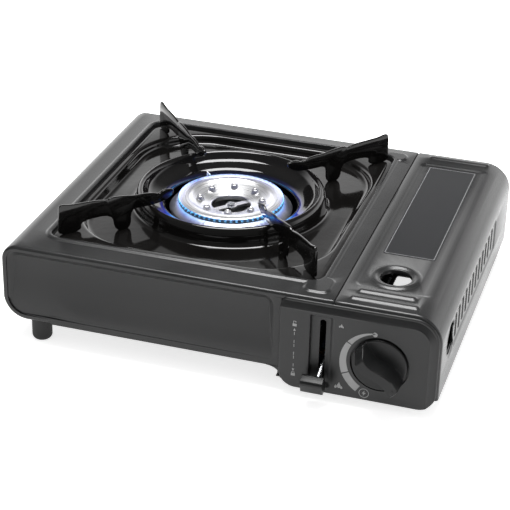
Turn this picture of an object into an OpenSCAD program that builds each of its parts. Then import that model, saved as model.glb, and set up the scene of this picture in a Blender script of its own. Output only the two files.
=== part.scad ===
// Butane cassette stove: a portable table stove with a ring burner on the left
// and a bay for a bayonet gas cartridge under a hinged lid on the right.
// +X to the right, +Y to the back, +Z up; the feet stand on z = 0.

/* [Body] */
// Width of the stove over the lid
body_w = 340; // [332:1:400]
// Depth of the case, front rim to back rim
body_d = 278; // [264:1:340]
// Height of the top plate above the table
body_h = 82; // [81:0.5:90]
// Thickness of the pressed steel sheet
sheet_t = 0.9; // [0.7:0.1:1.2]
// Height of the underside of the case above the table
case_bottom = 20; // [17:0.5:24]
// Radius of the upper left edge of the case
case_top_r = 13; // [9:0.5:18]
// Radius of the lower left edge of the case
case_low_r = 19; // [12:0.5:24]
// Width of the rim turned in around the front and the back
rim_w = 4.2; // [3:0.2:7]
// Depth of the front panel behind the rim
fascia_depth = 3.5; // [2:0.5:6]
// Thickness of the moulded front parts
mould_t = 2; // [1.5:0.1:3]

/* [Lid] */
// Width of the cartridge lid
lid_w = 80; // [77:1:90]
// Thickness of the lid sheet
lid_t = 0.8; // [0.6:0.1:1]
// Radius of the lid along its right edge
lid_r = 22; // [16:0.5:27]
// Height of the lower edge of the lid above the table
lid_bottom = 15; // [13:0.5:17]
// Depth of the flange at both ends of the lid
lid_flange = 3.4; // [2.5:0.1:6]
// Diameter of the finger hole
finger_hole_d = 23.6; // [18:0.2:28]
// Distance of the finger hole from the front of the case
finger_hole_y = 53; // [44:0.5:70]
// Distance of the finger hole from the left edge of the lid
finger_hole_x = 32.4; // [26:0.2:44]
// Number of side slots
vent_count = 12; // [6:1:13]
// Spacing of the side slots
vent_pitch = 13.2; // [9:0.2:13.4]
// Width of a side slot
vent_w = 3.4; // [2:0.1:3.8]
// Height of a side slot
vent_h = 19; // [10:0.5:22]
// Diameter of the round hole in the side of the lid
side_hole_d = 24; // [12:0.5:26]
// Diameter of the lid hinge pins
hinge_pin_d = 3; // [2.4:0.1:3.4]

/* [Drip pan] */
// Width of the opening for the drip pan
pan_w = 216; // [200:1:224]
// Depth of the opening for the drip pan
pan_d = 236; // [210:1:238]
// Distance of the pan opening from the left side
pan_left = 28; // [24:0.5:40]
// Distance of the pan opening from the front of the case
pan_front = 24.5; // [20:0.5:30]
// Corner radius of the pan opening
pan_r = 10; // [6:0.5:16]
// Drop of the pan rim below the top plate
pan_drop = 1.5; // [1:0.1:2.5]
// Depth of the pan floor below its rim
pan_depth = 7.5; // [5:0.5:9]
// Width of the flat pan rim along its sides
pan_rim_w = 8; // [6:0.5:12]
// Corner radius of the sunk floor
pan_floor_r = 56; // [40:1:64]
// Radius of the raised ring at its outer wall
collar_r = 77; // [70:0.5:82]
// Height of the raised ring above the pan floor
collar_h = 15.5; // [12:0.5:18]
// Gap between the burner bowl and the hole in the pan
pan_hole_gap = 3; // [2.4:0.1:5]

/* [Pan supports] */
// Radius of the outer edge of the pan supports
support_reach = 151; // [140:0.5:153]
// Height of the support tips above the pan rim
support_h = 25; // [20:0.5:32]
// Thickness of a pan support
support_t = 2; // [1.5:0.1:3]

/* [Burner] */
// Radius of the ring of flame ports
burner_r = 42.5; // [38:0.5:44]
// How far the burner bowl reaches beyond the ring of ports
bowl_lip = 7; // [5:0.5:8]
// Height of the burner ring above the pan rim
burner_rise = 0.2; // [0:0.1:3]
// Number of flame ports
port_count = 60; // [24:2:72]
// Radius of the circle of small bosses
boss_circle_r = 25; // [22:0.5:28]
// Number of small bosses
boss_count = 8; // [4:1:10]
// Radius of the opening in the middle of the burner
burner_eye_r = 15.8; // [10:0.2:17]
// Outer diameter of the mixing tube
mix_tube_d = 18; // [14:0.5:20]
// Room between the end of the mixing tube and the partition
jet_room = 39.4; // [36:0.2:52]

/* [Controls] */
// Width of the control front, from the right side to the left edge of its housing
control_w = 118.8; // [116:0.2:122]
// How far the control housing stands proud of the case
housing_proud = 4; // [3:0.5:7]
// Height of the bottom of the control housing
housing_bottom = 7; // [6:0.5:8]
// Distance of the knob axis from the right side
knob_in = 43.4; // [42.8:0.2:46]
// Height of the knob axis
knob_z = 39.2; // [37:0.2:42]
// Diameter of the knob
knob_d = 41; // [34:0.5:43]
// How far the knob stands proud of the control housing
knob_proud = 18; // [14:0.5:22]
// Diameter of the valve spindle
spindle_d = 6; // [5:0.1:7]
// Distance of the lever slot from the left side of the housing
lever_in = 32; // [31.6:0.2:33]
// Width of the lever slot
lever_slot_w = 4.6; // [4.2:0.1:6]
// Bottom of the lever slot above the table
lever_slot_low = 17; // [15:0.5:17.5]
// Top of the lever slot above the table
lever_slot_top = 66.5; // [66:0.5:70]
// Height of the lever shaft
lever_axis_z = 40; // [39:0.2:41]
// Distance of the lever shaft behind the front of the case
lever_axis_y = 40; // [38:0.5:44]

/* [Cartridge bay] */
// Diameter of the gas cartridge
can_d = 68; // [60:0.5:68]
// Length of the gas cartridge from its valve to its base
can_len = 186; // [160:1:190]
// Height of the bay floor above the table
bay_floor = 10; // [9:0.5:11]
// Travel of the cartridge carriage
carriage_travel = 8; // [6:0.5:9]

/* [Feet] */
// Diameter of a foot
foot_d = 15.6; // [12:0.2:18]
// Rounding of a foot at the table
foot_round = 4; // [1:0.5:5]
// Distance of the left feet from the left side
foot_in = 26.4; // [22:0.2:36]
// Distance of the left feet from the front and the back
foot_y_in = 12; // [10:0.5:20]
// Distance of the front right foot from the front
foot_right_y = 27; // [22:0.5:40]

/* [Clearances] */
// Gap between parts that lift, swing or slide past each other
gap = 0.3; // [0.3:0.05:0.5]
// Radial clearance of a shaft that turns in a hole
run_gap = 0.05; // [0.02:0.01:0.08]
// Gap at the seam between the top plate and the lid
seam_gap = 0.8; // [0.6:0.1:1.2]

/* [Hidden] */
$fn = 64;
e = 0.01;

// The whole part is centred: what stands out in front moves the case back.
mid_y = (housing_proud + knob_proud) / 2;
front_y = mid_y - body_d / 2;
back_y = mid_y + body_d / 2;
left_x = -body_w / 2;
right_x = body_w / 2;

// Lid and seam
seam_x = right_x - lid_w;
lid_x0 = seam_x + seam_gap / 2;
top_x1 = seam_x - seam_gap / 2;
shelf_w = 6;
shelf_z = body_h - lid_t - 0.5;
flange_drop = 6;
hinge_knuckle_r = hinge_pin_d / 2 + 1.4;
hinge_x = right_x - lid_t - 0.1 - hinge_knuckle_r;
hinge_z = lid_bottom + hinge_knuckle_r;
lid_knuckle_y = 3.2;
lid_knuckle_len = 6;
ear_len = 2;
ear_r = hinge_knuckle_r - 0.2;
wall_set = lid_t + gap;
wall_t = 1.2;

// Drip pan
pan_x = left_x + pan_left + pan_w / 2;
pan_y = front_y + pan_front + pan_d / 2;
pan_t = 0.9;
rim_z = body_h - pan_drop;
ledge_z = rim_z - pan_t - gap;
ledge_w = 6;
floor_z = rim_z - pan_depth;
collar_z = floor_z + collar_h;
pan_play = 0.6;
floor_w = pan_w - 2 * pan_rim_w;
floor_d = pan_d - 2 * (pan_rim_w + 1);
support_angle = atan2(pan_d, pan_w);

// Burner
bowl_r = burner_r + bowl_lip;
pan_hole_r = bowl_r + pan_hole_gap;
ring_z = rim_z + burner_rise;
ring_in = burner_r - 5.5;
dish_r = burner_r - 9;
eye_z = ring_z - 7;
mix_z = case_bottom + 15;
neck_r = 16;
mix_angle = -45;
mix_r = mix_tube_d / 2;
base_top = case_bottom + 2 * sheet_t;

// Controls
face_y = front_y - housing_proud;
housing_x0 = right_x - control_w;
housing_x1 = right_x - 1.4;
housing_top = body_h - 2.2;
knob_x = right_x - knob_in;
lever_x = housing_x0 + lever_in;
lever_y = front_y + lever_axis_y;
lever_t = 2.4;
lever_h = 8;
lever_knob_w = 16.5;
lever_knob_h = 12;
lever_out = lever_axis_y + housing_proud;
lever_drop = lever_axis_z - lever_slot_low - gap;
lever_rise = lever_slot_top - lever_axis_z - gap;
lever_rest_a = acos(lever_h / 2 / norm([lever_out, lever_drop])) - atan2(lever_out, lever_drop);
lever_up_a = acos(lever_h / 2 / norm([lever_out, lever_rise])) - atan2(lever_out, lever_rise);
lever_swing = lever_rest_a + lever_up_a;
groove_x0 = lever_x - 9.2;
groove_x1 = lever_x + 7.8;
groove_depth = 3.4;
ring_groove_r = knob_d / 2 + 0.8;

// Cartridge bay
tray_t = 1;
tray_top = bay_floor + tray_t;
plate_t = 1;
can_z = tray_top + gap + plate_t + 0.2 + can_d / 2;
part_x1 = top_x1 - sheet_t - 0.2;
part_x0 = part_x1 - 1;
mix_tube_len = (part_x0 - jet_room - pan_x) / cos(mix_angle) - neck_r;
tray_x0 = housing_x0 - 3;
tray_x1 = hinge_x - 3.6;
arm_x0 = part_x1 + 1.2;
arm_t = 2;
arm_r = carriage_travel / (2 * sin(lever_swing / 2));
fork_x0 = arm_x0 + arm_t + 1;
fork_t = 1.2;
fork_x1 = fork_x0 + fork_t;
fork_pin_d = 3;
shaft_r = 2.5;
reg_y0 = front_y + 7;
reg_y1 = front_y + 37;
inlet_y = front_y + 45;
inlet_r = 5;
inlet_deep = 8;
seal_t = 2;
can_y0 = inlet_y + 1;
can_y1 = can_y0 + can_len;

// Case parts
curl_x1 = left_x + foot_in + foot_d / 2 + 5;
foot_stud_r = 2.8;
flange_top = case_bottom + 3.2;
tray_y0 = front_y + wall_set + wall_t;
tray_y1 = back_y - wall_set - wall_t;
window_x = part_x1 + 16.6;
window_y = mid_y + 37;
plate_y0 = front_y + fascia_depth + mould_t + gap;
plate_y1 = back_y - sheet_t - wall_t - gap;
base_screw_spots = [
    [left_x + 36, front_y + 50], [left_x + 36, back_y - 50],
    [tray_x0 - 12, front_y + 60], [tray_x0 - 12, back_y - 60]
];
right_foot_x = right_x - 20;
right_foot_spots = [
    [right_foot_x, front_y + foot_right_y],
    [right_foot_x, back_y - foot_y_in]
];
ear_spots = [
    front_y + lid_knuckle_y + lid_knuckle_len + gap,
    back_y - lid_knuckle_y - lid_knuckle_len - gap - ear_len
];
fascia_x0 = left_x + sheet_t + gap;
fascia_x1 = housing_x0;
strip_w = 5.7;
housing_screw_spots = [[housing_x0 + 12, 64], [right_x - 16, 26]];
bracket_screw_spots = [[knob_x - 20, knob_z - 18], [knob_x + 20, knob_z - 18]];
heat_w = 50;
heat_t = 1.5;
heat_z = can_z - 6;
vent_z = 48;
vent_mid = mid_y - 9.5;
side_hole_y = front_y + 35;

// Burner and ignition runs
crossbar_z = eye_z - 1.4;
clip_z = ring_z - 28.3;
clip_t = 1.2;
ceramic_z0 = clip_z - 6.4;
ceramic_h = 20;
ceramic_r = 2.4;
bowl_at_clip = lookup(clip_z + clip_t, [[mix_z + 14, neck_r], [ring_z - 22, burner_r - 8]]);
electrode_r = bowl_r + 1.1;
electrode_a = 131;
pipe_points = [
    [knob_x - 17, front_y + 26, tray_top + 12],
    [housing_x0 + 16, front_y + 26, tray_top + 12],
    [pan_x + (neck_r + mix_tube_len + 12) * cos(mix_angle),
        pan_y + (neck_r + mix_tube_len + 12) * sin(mix_angle), mix_z],
    [pan_x + (neck_r + mix_tube_len + 6) * cos(mix_angle),
        pan_y + (neck_r + mix_tube_len + 6) * sin(mix_angle), mix_z]
];

lead_points = [
    [knob_x - 16, front_y + 15, tray_top + 5.5],
    [housing_x0 + 22, front_y + 15, tray_top + 5.5],
    [housing_x0 + 4, front_y + 24, tray_top + 5.5],
    [housing_x0 + 4, front_y + 24, base_top + 8],
    [pan_x + 40, front_y + 28, base_top + 4],
    [pan_x - 20, pan_y - 62, base_top + 4],
    [pan_x - 62, pan_y - 20, base_top + 6],
    [pan_x - 62, pan_y + 30, base_top + 10],
    [pan_x + electrode_r * cos(electrode_a), pan_y + electrode_r * sin(electrode_a),
        ceramic_z0 - 10],
    [pan_x + electrode_r * cos(electrode_a), pan_y + electrode_r * sin(electrode_a),
        ceramic_z0]
];
lead_r = 1.2;
bend_r = 6;
pipe_r = 2.5;

// Regulator, lever and carriage
reg_screw_spots = [for (a = [45 : 90 : 315]) [knob_x + 13.4 * cos(a), can_z + 13.4 * sin(a)]];
knob_angle = 137;
lever_reach = lever_axis_y + housing_proud + 13.4;
carriage_x1 = knob_x + 24;
rivet_spots = [[knob_x + 12, inlet_y + 34], [knob_x + 12, inlet_y + 134]];
rest_pin_y = lever_y - arm_r * sin(lever_swing / 2);
rest_pin_z = lever_axis_z + arm_r * cos(lever_swing / 2);

steel = "#3c3d3e";
plastic = "#3a3b3c";
enamel = "#141414";
silver = "#c9c9c6";
zinc = "#9fa3a6";
brass = "#b8923e";

// ---- helpers -------------------------------------------------------------

// Extrude an (x, z) outline along y, from y0 to y1.
module along_y(y0, y1) {
    translate([0, y1, 0]) rotate([90, 0, 0]) linear_extrude(y1 - y0) children();
}

// Extrude a (y, z) outline along x, from x0 to x1.
module along_x(x0, x1) {
    translate([x0, 0, 0]) rotate([90, 0, 90]) linear_extrude(x1 - x0) children();
}

// Box between two corners.
module box(a, b) {
    translate(a) cube([b.x - a.x, b.y - a.y, b.z - a.z]);
}

// Flat rectangle between two corners.
module flat(x0, y0, x1, y1) {
    translate([x0, y0]) square([x1 - x0, y1 - y0]);
}

// One corner of a rounded rectangle: the circle and the squares beside it.
module corner(x, y, sx, sy, r, big) {
    translate([x, y]) scale_sign(sx, sy) {
        translate([r, r]) circle(r);
        flat(r, 0, big, r);
        flat(0, r, r, big);
        flat(r - e, r - e, big, big);
    }
}

// Mirror into the quadrant that the signs name.
module scale_sign(sx, sy) {
    mirror([sx < 0 ? 1 : 0, 0]) mirror([0, sy < 0 ? 1 : 0]) children();
}

// Rectangle with four radii: lower left, lower right, upper right, upper left.
module round_rect(x0, y0, x1, y1, ll, lr, ur, ul) {
    big = max(ll, lr, ur, ul) + 1;
    corner(x0, y0, 1, 1, ll, big);
    corner(x1, y0, -1, 1, lr, big);
    corner(x1, y1, -1, -1, ur, big);
    corner(x0, y1, 1, -1, ul, big);
    flat(x0 + big - e, y0, x1 - big + e, y1);
    flat(x0, y0 + big - e, x1, y1 - big + e);
}

// Rounded rectangle centred on the origin.
module pad(w, d, r) {
    round_rect(-w / 2, -d / 2, w / 2, d / 2, r, r, r, r);
}

// Straight round bar between two points.
module bar(a, b, r) {
    v = b - a;
    len = norm(v);
    translate(a) rotate([0, acos(v.z / len), atan2(v.y, v.x)]) cylinder(h = len, r = r);
}

// Corners of a route cut back once, so that it bends in steps.
function soft(p) = concat([p[0]], [for (i = [1 : len(p) - 2]) for (k = [-1, 1])
    p[i] + unit(p[i + k] - p[i]) * min(bend_r, norm(p[i + k] - p[i]) * 0.3)], [p[len(p) - 1]]);
function along(p) = [for (i = [0 : len(p) - 1])
    unit(p[min(i + 1, len(p) - 1)] - p[max(i - 1, 0)])];
function across(t, u, i = 0) = i == len(t) ? [] :
    let (n = unit(u - (u * t[i]) * t[i])) concat([n], across(t, n, i + 1));

// Round tube swept along a route, with its ends square.
module tube(points, r, sides = 10) {
    p = soft(soft(points));
    t = along(p);
    n = across(t, [0.1, 0.2, 1]);
    last = len(p) - 1;
    ring = [for (i = [0 : last]) for (k = [0 : sides - 1]) p[i]
        + r * cos(k * 360 / sides) * n[i] + r * sin(k * 360 / sides) * cross(t[i], n[i])];
    walls = [for (i = [0 : last - 1]) for (k = [0 : sides - 1]) let (
        a = i * sides + k,
        b = i * sides + (k + 1) % sides
    ) each [[a, a + sides, b], [b, a + sides, b + sides]]];
    polyhedron(concat(ring, []), concat(
        [[for (k = [0 : sides - 1]) k]], walls,
        [[for (k = [sides - 1 : -1 : 0]) last * sides + k]]));
}

// Round-headed screw, head up, its thread going down from z = 0.
module screw(d, length) {
    translate([0, 0, -length]) cylinder(h = length, d = d);
    difference() {
        cylinder(h = d * 0.6, d = d * 1.9);
        translate([-d, -0.35, d * 0.35]) cube([2 * d, 0.7, d]);
        translate([-0.35, -d, d * 0.35]) cube([0.7, 2 * d, d]);
    }
}

// Place a child at the middle of the burner.
module at_burner() {
    translate([pan_x, pan_y, 0]) children();
}

// A centre line given a thickness, as (r, z) points for a turned sheet.
function unit(v) = v / norm(v);
function side(p, i) = let (
    a = p[max(i - 1, 0)],
    b = p[min(i + 1, len(p) - 1)],
    d = unit(b - a)
) [-d.y, d.x];
function band(p, t) = concat(
    [for (i = [0 : len(p) - 1]) p[i] + side(p, i) * t / 2],
    [for (i = [len(p) - 1 : -1 : 0]) p[i] - side(p, i) * t / 2]
);

// ---- case ----------------------------------------------------------------

module case_outline(inset = 0) {
    round_rect(left_x + inset, case_bottom + inset, top_x1, body_h - inset,
        max(case_low_r - inset, 1), 0.2, 0.2, max(case_top_r - inset, 1));
}

module case_wrap() {
    color(steel) {
        difference() {
            along_y(front_y, back_y) difference() {
                case_outline();
                case_outline(sheet_t);
                flat(top_x1 - sheet_t - e, case_bottom - e, top_x1 + e, body_h - sheet_t);
                flat(curl_x1, case_bottom - 1, top_x1 + 1, case_bottom + sheet_t + 1);
            }
            translate([pan_x, pan_y, body_h - 2]) linear_extrude(4) pad(pan_w, pan_d, pan_r);
            for (y = [front_y + foot_y_in, back_y - foot_y_in])
                translate([left_x + foot_in, y, case_bottom - 1]) cylinder(h = 4, r = foot_stud_r);
            for (p = base_screw_spots)
                if (p.x < curl_x1) translate([p.x, p.y, case_bottom - 1]) cylinder(h = 4, r = 1.6);
        }
        // seat for the drip pan
        at_burner() {
            translate([0, 0, ledge_z - sheet_t]) linear_extrude(body_h - ledge_z) difference() {
                pad(pan_w + 2 * sheet_t, pan_d + 2 * sheet_t, pan_r + sheet_t);
                pad(pan_w, pan_d, pan_r);
            }
            translate([0, 0, ledge_z - sheet_t]) linear_extrude(sheet_t) difference() {
                pad(pan_w + 2 * e, pan_d + 2 * e, pan_r);
                pad(pan_w - 2 * ledge_w, pan_d - 2 * ledge_w, pan_r);
            }
        }
        // rims turned in at the front and at the back
        for (y = [front_y, back_y - sheet_t]) along_y(y, y + sheet_t) difference() {
            case_outline();
            case_outline(rim_w);
            flat(curl_x1, case_bottom - 1, top_x1 + 1, case_bottom + rim_w + 1);
            flat(top_x1 - rim_w - 1, case_bottom - 1, top_x1 + 1, body_h - rim_w);
        }
        // shelf that the lid rests on
        along_y(front_y + wall_set, back_y - wall_set) {
            flat(top_x1 - sheet_t, shelf_z - sheet_t, top_x1, body_h - sheet_t + e);
            flat(top_x1 - sheet_t, shelf_z - sheet_t, top_x1 + shelf_w, shelf_z);
            flat(top_x1 + shelf_w - sheet_t, shelf_z - flange_drop, top_x1 + shelf_w, shelf_z);
        }
    }
}

module base_plate() {
    color(steel) difference() {
        union() {
            box([left_x + case_low_r, plate_y0, case_bottom + sheet_t],
                [tray_x0, plate_y1, base_top]);
            box([tray_x0 - sheet_t, plate_y0, case_bottom + sheet_t],
                [tray_x0, plate_y1, flange_top]);
        }
        for (y = [front_y + foot_y_in, back_y - foot_y_in])
            translate([left_x + foot_in, y, case_bottom]) cylinder(h = 6, r = foot_stud_r);
        for (p = base_screw_spots)
            translate([p.x, p.y, case_bottom - 1]) cylinder(h = 6, r = 1.6);
        for (i = [-3 : 3])
            translate([pan_x + i * 16, pan_y + 62, case_bottom]) linear_extrude(6)
                pad(5, 36, 2.4);
    }
}

module tray_ear(y) {
    along_y(y, y + ear_len) difference() {
        union() {
            flat(tray_x1 - tray_t, bay_floor, tray_x1, bay_floor + 12);
            flat(tray_x1 - tray_t, hinge_z - ear_r, hinge_x, hinge_z + ear_r);
            translate([hinge_x, hinge_z]) circle(ear_r);
        }
        translate([hinge_x, hinge_z]) circle(hinge_pin_d / 2);
    }
}

module base_tray() {
    color(steel) {
        difference() {
            union() {
                box([tray_x0, tray_y0, bay_floor], [tray_x1, tray_y1, tray_top]);
                box([tray_x1 - tray_t, tray_y0, bay_floor], [tray_x1, tray_y1, bay_floor + 8]);
                box([tray_x0, plate_y0, bay_floor], [tray_x0 + tray_t, tray_y1, flange_top]);
            }
            // lightening window and drain slots in the floor
            translate([window_x, window_y, bay_floor - 1]) linear_extrude(4) pad(15, 18, 2);
            for (i = [-2 : 2])
                translate([tray_x0 + 20, mid_y + i * 30, bay_floor - 1]) linear_extrude(4)
                    pad(14, 4, 1.9);
            for (p = right_foot_spots)
                translate([p.x, p.y, bay_floor - 1]) cylinder(h = 4, r = foot_stud_r);
            for (p = rivet_spots)
                translate([p.x, p.y, bay_floor - 1]) cylinder(h = 4, r = 1.5);
        }
        for (y = ear_spots) tray_ear(y);
    }
}

// Outline of the bay's end walls, inside the lid.
module bay_wall_outline(x0) {
    play = lid_t + 1;
    round_rect(x0, bay_floor, right_x - play, shelf_z - gap - sheet_t,
        0.2, 0.2, lid_r - play, 0.2);
    flat(x0, bay_floor, top_x1 + shelf_w + 8, shelf_z - sheet_t - gap);
}

// Clear space in the end walls round the hinge knuckle.
module knuckle_space() {
    flat(tray_x1 - tray_t - gap, bay_floor - 1, right_x + 1, hinge_z + hinge_knuckle_r + 1);
}

module rear_panel() {
    y0 = back_y - wall_set - wall_t;
    color(steel) along_y(y0, y0 + wall_t) difference() {
        union() {
            difference() {
                case_outline(sheet_t + gap);
                flat(curl_x1, 0, top_x1 + 1, case_bottom + sheet_t);
            }
            flat(curl_x1, case_bottom + sheet_t, top_x1 - sheet_t, shelf_z - flange_drop);
            difference() {
                bay_wall_outline(tray_x0);
                knuckle_space();
            }
        }
        flat(top_x1 - sheet_t - gap, shelf_z - flange_drop - gap, top_x1 + shelf_w + gap, body_h);
        for (i = [-4 : 4])
            translate([pan_x + i * 18, body_h - 22]) pad(10, 4, 1.9);
        for (i = [-2 : 2])
            translate([(part_x1 + tray_x1) / 2 + i * 13, body_h - 30]) pad(4, 16, 1.9);
    }
}

module front_fascia() {
    y_face = front_y + fascia_depth;
    low = case_bottom + sheet_t + gap;
    color(plastic) difference() {
        union() {
            // sunk panel
            along_y(y_face, y_face + mould_t) difference() {
                round_rect(fascia_x0, low, fascia_x1, body_h - sheet_t - gap,
                    max(case_low_r - sheet_t, 1), 0.2, 0.2, max(case_top_r - sheet_t, 1));
            }
            // band along the bottom and strip beside the control housing, level with the rim
            box([curl_x1 + gap, front_y, case_bottom], [fascia_x1, y_face + e, case_bottom + 5]);
            box([curl_x1 + gap, front_y, case_bottom],
                [tray_x0 - gap, y_face + mould_t, low + e]);
            box([fascia_x1 - strip_w, front_y + sheet_t, case_bottom],
                [fascia_x1, y_face + e, body_h - rim_w + 1]);
            box([fascia_x1 - strip_w, front_y, case_bottom],
                [fascia_x1, y_face + e, body_h - rim_w - gap]);
        }
    }
}

module bay_front_wall() {
    y0 = front_y + wall_set;
    color(steel) along_y(y0, y0 + wall_t) difference() {
        difference() {
            bay_wall_outline(housing_x0 + gap);
            knuckle_space();
        }
        flat(top_x1 - sheet_t - gap, shelf_z - flange_drop - gap, top_x1 + shelf_w + gap, body_h);
        flat(housing_x0, body_h - rim_w - 1, top_x1, body_h);
        translate([knob_x, knob_z]) circle(spindle_d / 2 + 2);
        flat(lever_x - 3.4, lever_slot_low - 3, lever_x + 3.4, lever_slot_top + 2);
        for (p = housing_screw_spots) translate(p) circle(1.6);
        for (p = bracket_screw_spots) translate(p) circle(1.6);
    }
}

module housing_outline(inset = 0) {
    round_rect(housing_x0 + inset, housing_bottom + inset, housing_x1 - inset,
        housing_top - inset, 13 - inset, 13 - inset, 19 - inset, 6 - inset);
}

module control_housing() {
    skin = 2.2;
    deep = 14;
    color(plastic) {
        difference() {
            union() {
                along_y(face_y, face_y + skin) housing_outline();
                along_y(face_y, front_y - gap) difference() {
                    housing_outline();
                    housing_outline(mould_t);
                }
                // lower skirt that closes the space under the bay floor
                along_y(front_y - gap - e, front_y + deep) difference() {
                    housing_outline();
                    housing_outline(mould_t);
                    flat(housing_x0 - 1, bay_floor - gap, housing_x1 + 1, body_h);
                }
                // groove body behind the lever
                box([groove_x0 - mould_t, face_y, housing_bottom + 3],
                    [groove_x1 + mould_t, front_y - gap, lever_slot_top + 6]);
                // fillet to the bottom of the front panel
                along_y(front_y - 1.5, front_y + wall_set + wall_t) difference() {
                    flat(housing_x0 - 9, case_bottom - 9, housing_x0 + 1, case_bottom - gap);
                    translate([housing_x0 - 9, case_bottom - 9]) circle(8.5);
                    flat(housing_x0 + e, 0, housing_x0 + 2, body_h);
                }
                // screw posts
                for (p = housing_screw_spots)
                    translate([p.x, front_y + wall_set, p.y]) rotate([90, 0, 0])
                        cylinder(h = wall_set + housing_proud - 1, r = 3.2);
            }
            along_y(face_y - 1, face_y + groove_depth)
                round_rect(groove_x0, housing_bottom + 6, groove_x1, lever_slot_top + 4,
                    1, 1, 1, 1);
            along_y(face_y - 1, front_y + 1)
                round_rect(lever_x - lever_slot_w / 2, lever_slot_low,
                    lever_x + lever_slot_w / 2, lever_slot_top, 2, 2, 2, 2);
            translate([knob_x, face_y + 1.2, knob_z]) rotate([90, 0, 0])
                cylinder(h = 3, r = ring_groove_r);
            translate([knob_x, front_y + 1, knob_z]) rotate([90, 0, 0])
                cylinder(h = housing_proud + 2, r = spindle_d / 2 + 1);
            for (p = housing_screw_spots)
                translate([p.x, front_y + wall_set + e, p.y]) rotate([90, 0, 0])
                    cylinder(h = 4, r = 1.5);
        }
    }
}

module partition() {
    color(steel) along_x(part_x0, part_x1) difference() {
        flat(tray_y0, tray_top, tray_y1, shelf_z - sheet_t);
        translate([lever_y, lever_axis_z]) circle(shaft_r + run_gap);
        translate([pipe_points[0].y, pipe_points[0].z]) circle(pipe_r + 1);
        translate([lead_points[0].y, lead_points[0].z]) circle(lead_r + 1);
        flat(mid_y - heat_w / 2 - gap, heat_z - gap, mid_y + heat_w / 2 + gap,
            heat_z + heat_t + gap);
        for (i = [-3 : 3]) translate([mid_y + 20 + i * 28, tray_top + 13]) pad(12, 5, 2.4);
    }
}

module heat_plate() {
    can_side = knob_x - can_d / 2;
    color("#a9abad") {
        box([pan_x + burner_r + 8, mid_y - heat_w / 2, heat_z],
            [can_side - 1, mid_y + heat_w / 2, heat_z + heat_t]);
        box([can_side - 1 - heat_t, mid_y - heat_w / 2, heat_z - 14],
            [can_side - 1, mid_y + heat_w / 2, heat_z + 14]);
        box([part_x0 - heat_t, mid_y - heat_w / 2, heat_z + heat_t - e],
            [part_x0, mid_y + heat_w / 2, heat_z + 12]);
    }
}

module case_screws() {
    color(zinc) {
        for (p = base_screw_spots)
            translate([p.x, p.y, (p.x < curl_x1) ? case_bottom : case_bottom + sheet_t])
                mirror([0, 0, 1]) screw(3.2, 5);
        for (p = housing_screw_spots)
            translate([p.x, front_y + wall_set + wall_t, p.y]) rotate([-90, 0, 0])
                screw(3, 4);
        for (p = bracket_screw_spots)
            translate([p.x, front_y + wall_set + wall_t + 1.2, p.y]) rotate([-90, 0, 0])
                screw(3.2, 3.2);
    }
}

module foot(top_z) {
    color("#1c1c1c") {
        rotate_extrude() difference() {
            union() {
                flat(0, foot_round, foot_d / 2, top_z);
                flat(0, 0, foot_d / 2 - foot_round, foot_round + e);
                translate([foot_d / 2 - foot_round, foot_round]) circle(foot_round);
            }
            flat(-foot_d, -1, 0, top_z + 1);
        }
        translate([0, 0, top_z - e]) cylinder(h = 2.6, r = foot_stud_r);
    }
}

module foot_front_left() translate([left_x + foot_in, front_y + foot_y_in, 0]) foot(case_bottom);
module foot_rear_left() translate([left_x + foot_in, back_y - foot_y_in, 0]) foot(case_bottom);
module foot_front_right()
    translate([right_foot_spots[0].x, right_foot_spots[0].y, 0]) foot(bay_floor);
module foot_rear_right()
    translate([right_foot_spots[1].x, right_foot_spots[1].y, 0]) foot(bay_floor);

// ---- drip pan and pan supports ---------------------------------------------

collar_line = [
    [collar_r + 6, floor_z + pan_t / 2],
    [collar_r + 1.4, floor_z + pan_t / 2],
    [collar_r, floor_z + 2.2],
    [collar_r - 1.2, collar_z - 3.6],
    [collar_r - 2.6, collar_z - 1],
    [collar_r - 4.6, collar_z - pan_t / 2],
    [collar_r - 6.6, collar_z - 1.6],
    [collar_r - 9, collar_z - 5.5],
    [pan_hole_r + 6, floor_z + 5.2],
    [pan_hole_r + 3, floor_z + 4.6],
    [pan_hole_r + 0.9, floor_z + 3.4],
    [pan_hole_r + pan_t / 2, floor_z + 1]
];

module drip_pan() {
    color(enamel) at_burner() {
        // flat rim
        translate([0, 0, rim_z - pan_t]) linear_extrude(pan_t) difference() {
            pad(pan_w - 2 * pan_play, pan_d - 2 * pan_play, pan_r - pan_play);
            pad(floor_w, floor_d, pan_floor_r);
        }
        // wall down to the floor
        translate([0, 0, floor_z - pan_t]) linear_extrude(rim_z - floor_z + pan_t) difference() {
            pad(floor_w + 2 * pan_t, floor_d + 2 * pan_t, pan_floor_r + pan_t);
            pad(floor_w, floor_d, pan_floor_r);
        }
        // floor
        translate([0, 0, floor_z - pan_t]) linear_extrude(pan_t) difference() {
            pad(floor_w + 2 * e, floor_d + 2 * e, pan_floor_r);
            circle(collar_r + 3, $fn = 128);
        }
    }
}

// raised ring round the burner, lapped on the floor of the pan
module pan_collar() {
    color(enamel) at_burner() rotate_extrude($fn = 128) polygon(band(collar_line, pan_t));
}

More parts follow.
